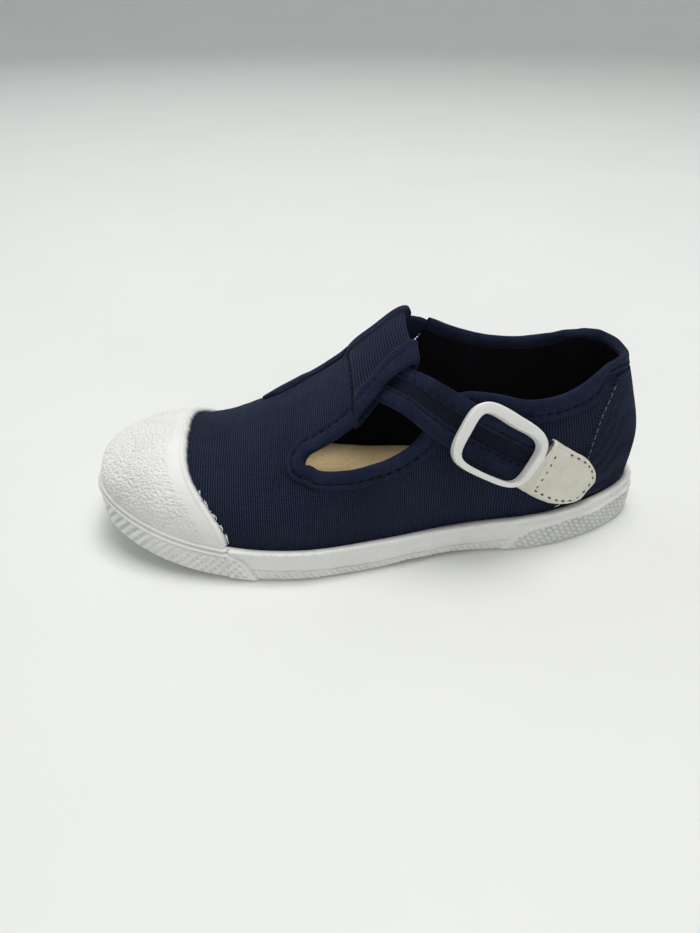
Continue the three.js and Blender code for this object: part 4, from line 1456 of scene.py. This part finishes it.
def make_tab_stitches():
    """Sunk dark stitches round the tab and beside its crease, and one loose thread end."""
    angle = np.linspace(0.0, np.pi, 200)
    reach_half = TAB["half"] - TAB_SEAM
    start = TAB_ARC["from"]
    shape = rounded_box(TAB["long"] - TAB_SEAM - start, reach_half, TAB_ARC["power"], angle - np.pi / 2)
    along = start + np.maximum(0.0, shape * np.sin(angle))
    round_line = on_wall(TAB, along, -shape * np.cos(angle), tab_foot(along) + TAB["thick"] - 0.1)
    fold_up = np.linspace(-reach_half, reach_half, 40)
    fold_along = fold_at(fold_up / TAB["half"]) + TAB_ARC["past_fold"]
    fold_line = on_wall(TAB, fold_along, fold_up, tab_foot(fold_along) + TAB["thick"] + 0.02)
    build = Build()
    for line in (round_line, fold_line):
        add_stitches(build, line, 0.3, pitch=TAB_STITCH, long=1.0)
    place(build.object("tab_stitches", GREY_THREAD), "tab_leather")
    thread = Build()
    add_tube(thread, spline(on_wall(TAB, *np.array(LOOSE_THREAD).T), 10), 0.12)
    place(thread.object("tab_loose_thread", WHITE_THREAD), "tab_leather")


def add_tube(build, line, radius, sides=6):
    along = unit(np.gradient(line, axis=0))
    side = unit(np.cross(along, np.array([0.1, 0.2, 1.0])))[:, None]
    up = np.cross(side[:, 0], along)[:, None]
    turn = np.linspace(0, 2 * np.pi, sides, endpoint=False)[None, :, None]
    taper = np.full((len(line), 1, 1), radius)
    taper[[0, -1]] *= 0.3
    ring = line[:, None] + taper * (np.cos(turn) * side + np.sin(turn) * up)
    build.grid(ring, round_columns=True)
    close_ends(build, ring, np.zeros(ring.shape))


# Sole
SIDE_INNER = 2.7
LEDGE = 1.5
SOLE_STEP = 0.38
# Half the length of the lines that the slab and the tread close on
SOLE_SPINE = 62.0
UNDER_RIM = 1.1
UNDER_SHARES = (1.0, 0.5, 0.12, 0.03)
ARCH = {"from": 0.48, "to": 0.7, "rise": 0.9, "slope": 0.08}
BUMPER_EDGE = [
    # height above the floor, x where the toe bumper ends
    (0.0, -36.8),
    (2.6, -38.0),
    (5.8, -39.6),
    (7.6, -41.2),
    (8.7, -44.2),
    (9.0, -46.0),
]
GUARD_EDGE = [
    # x, height of the heel guard's top
    (37.6, -0.5),
    (38.4, 1.5),
    (39.6, 3.0),
    (42.4, 5.5),
    (46.6, 7.8),
    (53.4, 8.8),
    (60.4, 9.3),
    (68.4, 8.9),
    (73.6, 9.9),
    (86.0, 9.9),
]
BAND_GROOVE = [
    # x, height of the thin groove along the middle
    (-42.0, 4.2),
    (-36.0, 4.1),
    (-3.0, 2.9),
    (12.0, 2.6),
    (26.0, 3.0),
    (38.0, 3.8),
]
BEADS = [
    # distance below the top, half width, how far it stands out
    (0.35, 0.38, 0.55),
    (1.6, 0.38, 0.7),
    (2.75, 0.36, 0.3),
]
BEAD_STARTS = (-200.0, -200.0, -82.0)
BEAD_END = -45.2
RIB = {"pitch": 3.1, "slant": 0.93, "depth": 0.42, "flat": 0.14, "wall": 0.2, "end": -70.0}
DOT = {"pitch": 1.25, "depth": 0.4, "step": 0.35, "long": 0.28, "from": 8.0}
PIT = {"along": 2.65, "up": 1.42, "wide": 0.66, "depth": 0.8, "sharp": 1.6, "squat": 1.15}
SQUARE = {"pitch": 1.95, "depth": 0.62, "slant": 0.6, "gap": 0.07, "wall": 0.2}
SLOT = {"pitch": 2.05, "depth": 0.26, "slant": 0.8}
GROOVE = {"depth": 0.4, "half": 0.24}
FOOT = {"depth": 0.9, "high": 1.1}
SHOULDER = {"depth": 0.8, "high": 2.6, "in": 0.5}
LIP = {"depth": 0.3, "high": 0.55, "top": 0.25}
FRAY = {"from": -42.0, "to": 4.0, "depth": 0.5, "rise": 0.4}


def arch_height(u):
    rise = ease((u - ARCH["from"]) / ARCH["slope"]) * ease((ARCH["to"] - u) / ARCH["slope"])
    return ARCH["rise"] * rise


def bottom_level(x, u):
    return toe_spring(x) + arch_height(u)


def edge_stations(step):
    """Places and sides round the sole's outline in equal steps of its length, and the run from the tip."""
    stations = []
    for side in (-1.0, 1.0):
        run = run_of(joined(along_at(FINE, 0.0), toe_shift(FINE) + side * half_width(FINE, side, 0.0)))
        at = np.linspace(0, run[-1], int(round(run[-1] / step)) + 1)
        if side > 0:
            at = at[::-1][1:-1]
        stations.append(joined(np.interp(at, run, FINE), side, at))
    return np.vstack(stations).T


def bumper_share(x, h):
    """How far the toe bumper stands out here, 0 to 1."""
    return ease((straight(BUMPER_EDGE, h) - x) / 0.9 + 0.5)


def guard_share(x, h):
    """How far the heel guard stands out here, 0 to 1."""
    return ease((straight(GUARD_EDGE, x) - h) / 0.9 + 0.5) * (x > 30)


def frayed_share(x):
    return ease((x - FRAY["from"]) / 4.0) * ease((FRAY["to"] - x) / 8.0)


def rib_relief(run, h):
    """Slanted ribs of the toe bumper, with dots sunk in the grooves between them."""
    phase = (run - RIB["slant"] * h) / RIB["pitch"]
    off = np.abs(phase - np.round(phase))
    groove = RIB["depth"] * ease((off - RIB["flat"]) / RIB["wall"])
    along = (h + DOT["step"] * np.round(phase + 0.5)) / DOT["pitch"]
    dot = hump(along, np.round(along), DOT["long"]) * ease((off - 0.3) / 0.12)
    return groove + DOT["depth"] * dot * ease((run - DOT["from"]) / 6.0)


def pit_relief(run, h):
    """A lattice of small pits."""
    own = np.round(h / PIT["up"])
    nearest = 9.0
    for row in (own, own + np.where(h / PIT["up"] > own, 1, -1)):
        along = run / PIT["along"] + 0.5 * (row % 2)
        beside = (along - np.round(along)) * PIT["along"] / PIT["wide"]
        above = (h / PIT["up"] - row) * PIT["up"] / PIT["wide"] * PIT["squat"]
        nearest = np.minimum(nearest, np.hypot(beside, above))
    return PIT["depth"] * np.exp(-nearest ** 2 * PIT["sharp"])


def square_relief(run, h):
    """Slanted rows of small raised squares on the heel guard."""
    a = (run + SQUARE["slant"] * h) / SQUARE["pitch"]
    b = h / SQUARE["pitch"] + 0.5 * (np.floor(a) % 2)
    gap = np.minimum(*(0.5 - np.abs(v - np.floor(v) - 0.5) for v in (a, b)))
    return SQUARE["depth"] * (1 - ease((gap - SQUARE["gap"]) / SQUARE["wall"]))


def toe_relief(x, below_top):
    """The round shoulder of the toe's rim and the beads along it, and how much painted shade lies between
    them.
    """
    shoulder = SHOULDER["depth"] * (1 - clamp01((below_top - 0.2) / SHOULDER["high"])) ** 1.2
    beads = 0.0
    for start, (at, half, out) in zip(BEAD_STARTS, BEADS):
        beads = beads + out * np.exp(-((below_top - at) / half) ** 2 * 1.4) * ease((x - start) / 6.0)
    between = clamp01((0.30 - beads) / 0.3) * clamp01((3.0 - below_top) / 0.6)
    return shoulder + SHOULDER["in"] - beads, between


def bumper_relief(x, run, h, below_top, edge_gap):
    """Ribs that pass into a lattice of pits on the toe bumper's face."""
    to_lattice = ease((x - RIB["end"] + 4.0) / 8.0)
    relief = mix(rib_relief(run, h), pit_relief(run, h), to_lattice)
    face = clamp01((below_top - 1.9) / 0.9)
    return relief * face * clamp01(edge_gap / 1.2 - 0.6) * ease((h - 0.4) / 0.9)


def guard_relief(x, run, h):
    """Squares on the heel guard's face."""
    on_guard = clamp01((straight(GUARD_EDGE, x) - h - 0.7) / 0.7) * clamp01((h - 0.2) / 0.6) * (x > 30)
    return square_relief(run, h) * on_guard * clamp01((x - 40.5) / 3.0)


def band_relief(x, run, h):
    """The thin groove between toe bumper and heel guard, and the slots under it."""
    groove_at = straight(BAND_GROOVE, x)
    slotted = ease((groove_at - h - 0.35) / 0.4) * swing(run + SLOT["slant"] * h, SLOT["pitch"])
    return GROOVE["depth"] * hump(h, groove_at, GROOVE["half"]), SLOT["depth"] * slotted


def top_relief(x, below_top):
    """The lip of the side wall's top edge, worn away where it is frayed."""
    lip = LIP["depth"] * ease((below_top - LIP["high"]) / 0.35) * (1 - ease((below_top - 1.4) / 1.6))
    return lip * (1 - 0.75 * frayed_share(x)) + LIP["top"] * (1 - clamp01(below_top / 0.45)) ** 2


def worn_relief(x, run, side, h):
    """Ripples and fine grain of handling."""
    ruffle = soft_noise(joined(run, h * 1.6, side * 7.0), 2.6, 41)
    fine = soft_noise(joined(run, h, side * 7.0), 0.8, 42)
    return (0.1 + 0.16 * ease((x - 5) / 20)) * ruffle + 0.07 * fine


def side_inset(x, run, side, h, high):
    """How far the sole's side lies inside its outline, and the painted shade in its recesses."""
    below_top = high - h
    floor_h = h + toe_spring(x)
    bumper = bumper_share(x, floor_h)
    raised = np.maximum(bumper, guard_share(x, h))
    toe_zone = ease((BEAD_END - x) / 0.35 + 0.5)
    in_middle = (1 - raised) * (x > -45)
    body = PLAIN_INSET * (1 - raised) + FOOT["depth"] * (1 - clamp01(h / FOOT["high"])) ** 2.0
    edge_gap = straight(BUMPER_EDGE, floor_h) - x
    relief = bumper_relief(x, run, h, below_top, edge_gap)
    rim = -0.25 * bumper * hump(edge_gap, 1.0, 0.5)
    toe, between = toe_relief(x, below_top)
    squares = guard_relief(x, run, h)
    groove, slots = (part * in_middle for part in band_relief(x, run, h))
    plain = top_relief(x, below_top) + worn_relief(x, run, side, h)
    teeth = soft_noise(joined(run, side * 9.0), 0.55, 43) - 0.1
    fray = FRAY["depth"] * frayed_share(x) * teeth * (1 - clamp01(below_top / 0.8))
    inset = body + relief + rim + toe * toe_zone + squares + plain * (1 - toe_zone) + groove + slots + fray
    # Painted shade: darker in the ribs' and pits' recesses, between the squares, in the groove and slots,
    # between the beads and in the frayed edge.
    hollow_shade = relief / 0.75 + 1.2 * squares / SQUARE["depth"] + 2.2 * groove + 2.6 * slots
    hollow_shade = hollow_shade + 0.8 * between * toe_zone + 1.4 * fray
    # Painted shade in the step just behind the toe bumper's edge.
    hollow_shade = hollow_shade + 0.9 * hump(edge_gap, -0.3, 0.4) * (below_top > 2.0)
    return np.maximum(0.0, inset), clamp01(hollow_shade)


def make_sole():
    """Side wall, ledge and slab inside it, and the underside, as one closed grid round the outline."""
    u, side, run = edge_stations(SOLE_STEP)
    x = along_at(u, 0.0)
    low, top = bottom_level(x, u), feather_line(x)
    high = top - low
    share = np.concatenate([np.linspace(0, 0.3, 18), np.linspace(0.3, 1.0, 27)[1:]])
    wall, hollow_shades = [], []
    for part in share[::-1]:
        h = high * (1 - part)
        inset, hollow_shade = side_inset(x, run, side, h, high)
        wall.append(sole_point(u, side, inset, low + h))
        hollow_shades.append(hollow_shade)
    teeth = soft_noise(joined(run, side * 9.0), 0.6, 44)
    wall[-1][:, 2] += FRAY["rise"] * frayed_share(x) * (side < 0) * np.maximum(0, teeth)
    inner = [sole_point(u, side, inset, z) for inset, z in ((LEDGE, top), (SIDE_INNER, top))]
    inner.append(sole_point(u, side, SIDE_INNER, toe_spring(x) + SLAB))
    spine_x = np.clip(x, -SOLE_SPINE, SOLE_SPINE)
    inner.append(joined(spine_x, toe_shift(u), toe_spring(spine_x) + SLAB))
    floor_spine = joined(spine_x, toe_shift(u), 0.0)
    under = []
    for share_in in UNDER_SHARES:
        point = mix(sole_point(u, side, UNDER_RIM, low), floor_spine, share_in)
        point[:, 2] = bottom_level(point[:, 0], point[:, 0] / LENGTH + 0.5)
        under.append(point)
    # Painted shade: the sole's inner side and slab, in the crevice under the canvas, are painted half dark.
    plain, inner_shade = np.zeros(len(u)), np.full(len(u), 0.5)
    hollow_shade = np.stack([plain] * len(under) + hollow_shades + [plain, inner_shade, inner_shade, inner_shade], axis=0)
    build = Build()
    build.grid(np.stack(under + wall + inner), joined(0, 0, hollow_shade), round_columns=True)
    place(build.object("sole_rubber", RUBBER), "sole_rubber", "sole")


def sole_point(u, side, inset, z):
    return joined(along_at(u, inset), toe_shift(u) + side * half_width(u, side, inset), z)


# Toe cap
CAP = {"foot": 0.3, "thick": 1.5, "pebble": 0.8, "relief": 0.34, "columns": 400, "rows": 214}
# The smooth band and the groove in it, wider apart at the sides, and the lip along the edge
CAP_BAND = {"top": 3.0, "side": 5.6, "fade": 1.1}
CAP_GROOVE = {"top": 1.1, "side": 1.7, "half": 0.24, "depth": 0.18}
CAP_LIP = {"at": 0.45, "half": 0.4, "high": 0.13}


def cap_edge(degrees):
    return CAP_BACK + CAP_WING * np.abs(np.cos(np.radians(degrees))) ** 4


def make_cap():
    """Pebbled rubber with a smooth band and a thin raised lip at its rear edge."""
    degrees = np.linspace(0, 180, CAP["columns"])[None, :]
    u = place_of(cap_edge(degrees)) * np.linspace(0, 1, CAP["rows"])[:, None] ** 2.8
    degrees = np.broadcast_to(degrees, u.shape)
    height = CAP["foot"] + CAP["thick"]
    base = skin(u, degrees, height)
    lengths = np.linalg.norm(np.diff(base, axis=0), axis=-1)
    from_edge = np.vstack([np.cumsum(lengths[::-1], axis=0)[::-1], np.zeros((1, CAP["columns"]))])
    side_of = np.abs(np.cos(np.radians(degrees)))
    band = mix(CAP_BAND["top"], CAP_BAND["side"], ease(side_of * 1.3))
    rough = ease((from_edge - band) / CAP_BAND["fade"])
    first, second = pebbles(base, CAP["pebble"])
    pebble = 0.6 * ease(1.25 - 1.35 * first) + 0.4 * ease((second - first) / 0.4)
    grain = CAP["relief"] * (pebble - 0.55) + 0.06 * soft_noise(base, 0.4, 51)
    groove_at = mix(CAP_GROOVE["top"], CAP_GROOVE["side"], side_of)
    in_groove = hump(from_edge, groove_at, CAP_GROOVE["half"]) * ease((0.95 - side_of) / 0.1)
    relief = rough * grain + 0.04 * soft_noise(base, 3.0, 52) - CAP_GROOVE["depth"] * in_groove
    relief = relief + CAP_LIP["high"] * hump(from_edge, CAP_LIP["at"], CAP_LIP["half"], 4)
    at_sole = clamp01(np.minimum(degrees, 180 - degrees) / 2.5)
    top = skin(u, degrees, height + relief * at_sole - 0.5 * np.exp(-from_edge / 0.16))
    below = skin(u, degrees, CAP["foot"])
    ragged = (0.22 * soft_noise(top, 1.1, 53) + 0.12 * soft_noise(top, 0.5, 54)) * np.exp(-from_edge / 0.5)
    for layer in (top, below):
        layer[..., 0] += ragged
    points = np.concatenate([top, below[::-1][::6]], axis=0)
    hollow_shade = np.zeros(points.shape[:2])
    # Painted shade: darker between the pebbles and in the groove.
    hollow_shade[:CAP["rows"]] = 0.32 * rough * (1 - pebble) ** 2 * at_sole + 0.35 * in_groove
    build = Build()
    build.grid(points, joined(0, 0, hollow_shade))
    close_sides(build, points)
    place(build.object("toe_cap_rubber", CAP_RUBBER), "sole_rubber", "toe_cap")
    make_glue()


GLUE = {"step": 0.012, "low": 3.0, "high": 46.0, "cluster": 31.0}


def make_glue():
    """Specks of dried white glue squeezed out along the lower half of the cap's edge."""
    build = Build()
    for which in (-1, 1):
        at = np.arange(0.0, 1.0, GLUE["step"])
        number = np.arange(len(at))
        dice = jitter(joined(number, which + 5), 91)
        spread = jitter(joined(number, which + 9), 92)
        for t, d, e in zip(at, dice, spread):
            if d > (0.8 - 0.4 * t) * (0.55 + 0.6 * math.sin(GLUE["cluster"] * t + which)):
                continue
            degrees = mix(GLUE["low"], GLUE["high"], t)
            u = place_of(cap_edge(degrees) + 0.05 + 0.3 * e)
            angle = degrees if which < 0 else 180 - degrees
            here, raised = skin(u, angle, 0.15), skin(u, angle, 1.15)
            along = unit(skin(u, angle + 1.5, 0.15) - here)
            half, radius = 0.2 + 0.6 * e * e, 0.12 + 0.2 * d
            add_spindle(build, here, along, unit(raised - here), half, radius, 0.9)
    place(build.object("glue_specks", RUBBER), "sole_rubber")


def close_sides(build, points):
    """Closes the two open sides of a grid whose rows run out and back."""
    pairs = len(points) // 2
    for column_ in (0, -1):
        line = points[:, column_]
        build.grid(np.stack([line[:pairs], line[::-1][:pairs]], axis=1))


# Insole
INSOLE = {"gap": 0.35, "wave": 0.25, "thick": 2.3, "crown": 2.6, "lumps": 0.12, "sag": 0.25}
INSOLE_SPINE = (-58.0, 56.0)
INSOLE_RIM = [
    # distance in from the upper, height above the slab
    (0.5, 0.3),
    (0.0, 0.6),
    (0.0, INSOLE["thick"] + INSOLE_RAISE),
    (0.25, 2.7 + INSOLE_RAISE),
    (0.9, 2.85 + INSOLE_RAISE),
]


def make_insole():
    """A thin board whose top sags a little towards its middle."""
    u, side, run = edge_stations(0.9)
    wavy = INSOLE["wave"] * soft_noise(joined(run, side * 5.0), 5.0, 61)
    rows = []
    for extra, height in INSOLE_RIM:
        inset = UPPER_INSET + CANVAS_THICK + INSOLE["gap"] + extra
        x = along_at(u, inset)
        y = toe_shift(u) + side * half_width(u, side, inset + wavy)
        rows.append(joined(x, y, toe_spring(x) + SLAB + height))
    rim = rows[-1]
    spine_x = np.clip(rim[:, 0], *INSOLE_SPINE)
    spine = joined(spine_x, toe_shift(u), toe_spring(spine_x) + SLAB + INSOLE["crown"] + INSOLE_RAISE)
    low_spine = spine - np.array([0, 0, INSOLE["thick"] + INSOLE_RAISE])
    top = SLAB + INSOLE_RIM[-1][1]
    for t in np.linspace(0.04, 1.0, 22):
        point = mix(rim, spine, t)
        lumps = INSOLE["lumps"] * soft_noise(point, 9.0, 62) * ease(t * 4)
        point[:, 2] = toe_spring(point[:, 0]) + top + (lumps - INSOLE["sag"] * ease(t * 1.5))
        rows.append(point)
    build = Build()
    build.grid(np.stack([low_spine] + rows, axis=0), round_columns=True)
    place(build.object("insole_board", BOARD), "insole_board", "insole")


# Heel panel
PANEL_LOW = 13.2
PANEL_DROP = 4.5
PANEL_RIB = 0.95
PANEL_THREAD = 0.955
PANEL_RELIEF = {"out": 0.42, "edge": -0.2, "ribs": 0.11, "uneven": 0.05}


def panel_grid(height, around):
    """Places and heights on the heel panel: 0 to 1 up it, -1 to 1 round it from its lateral edge."""
    edge = spline([(x, 0.0, z) for x, z in PANEL_EDGE], 60)
    run = run_of(joined(along_at(HEEL_PLACES), HEEL_WIDTHS[1]))
    side = np.where(around < 0, -1.0, 1.0)
    u = np.full(np.broadcast(height, around).shape, 0.97)
    front = u
    for _ in range(12):
        z = mix(PANEL_LOW, collar_height(u, side, 6) - PANEL_DROP, height)
        front = place_of(np.interp(z, edge[:, 2], edge[:, 0]) - lean(front, z))
        reach = np.interp(-front, -HEEL_PLACES, run) * np.abs(around)
        u = np.interp(reach, run, HEEL_PLACES)
    return u, z, side


def make_panel():
    """A second layer of canvas round the heel, its ribs level, with a pale thread up each front edge."""
    around = np.linspace(-1, 1, 201)[None, :]
    u, z, side = panel_grid(np.linspace(0, 1, 170)[:, None], around)
    lip = ease((1 - np.abs(around)) * 40)
    at = joined(u * 170, z)
    ribs = PANEL_RELIEF["ribs"] * np.cos(2 * np.pi * z / PANEL_RIB + 1.5 * soft_noise(at, 7.0, 72))
    out = mix(PANEL_RELIEF["edge"], PANEL_RELIEF["out"], lip) + lip * ribs
    out = out + PANEL_RELIEF["uneven"] * soft_noise(at, 6.0, 71)
    degrees = angle_at_height(u, z, side)
    points = skin(u, degrees, out)
    weave = arc_weave(points)
    build = Build()
    build.grid(points, weave)
    build.grid(skin(u, degrees, np.minimum(out - 0.5, -0.15)), weave, flip=True)
    place(build.object("heel_canvas", PANEL_CANVAS), "canvas", "heel_panel")
    thread = Build()
    for which in (-1.0, 1.0):
        u, z, side = panel_grid(np.linspace(0.02, 0.97, 200), np.full(200, which * PANEL_THREAD))
        add_stitches(thread, skin(u, angle_at_height(u, z, side), 0.55), 0.2, **SEAM)
    place(thread.object("heel_thread", PALE_THREAD), "tape")


CANVAS = canvas_finish("canvas")
# Painted shade: the strap's middle canvas is painted at 0.55 of the canvas' colours, for the shade of the
# sunk groove it lies in.
STRAP_CANVAS_SHADED = canvas_finish("strap_canvas_shaded", 0.65, 0.55)
LOOP_CANVAS = canvas_finish("loop_canvas", 0.7, 0.95)
PANEL_CANVAS = canvas_finish("heel_canvas", PANEL_RIB, 1.1)
LINING = lining_finish()
TAPE = tape_finish()
RUBBER = rubber_finish("sole_rubber", 0.6, 0.06)
CAP_RUBBER = rubber_finish("cap_rubber", 0.35, 0.08)
BOARD = board_finish()
PLASTIC = plastic_finish()
LEATHER = leather_finish()
NAVY_THREAD = thread_finish("navy_thread", (0.0014, 0.002, 0.006))
GREY_THREAD = thread_finish("grey_thread", (0.10, 0.095, 0.085))
WHITE_THREAD = thread_finish("white_thread", (0.75, 0.75, 0.72))
PALE_THREAD = thread_finish("pale_thread", (0.16, 0.18, 0.22))

make_camera()
make_stage()
make_light()
make_sole()
make_insole()
make_upper()
make_panel()
make_cap()
make_tapes()
make_loop()
make_strap()
make_buckle()
make_tab()
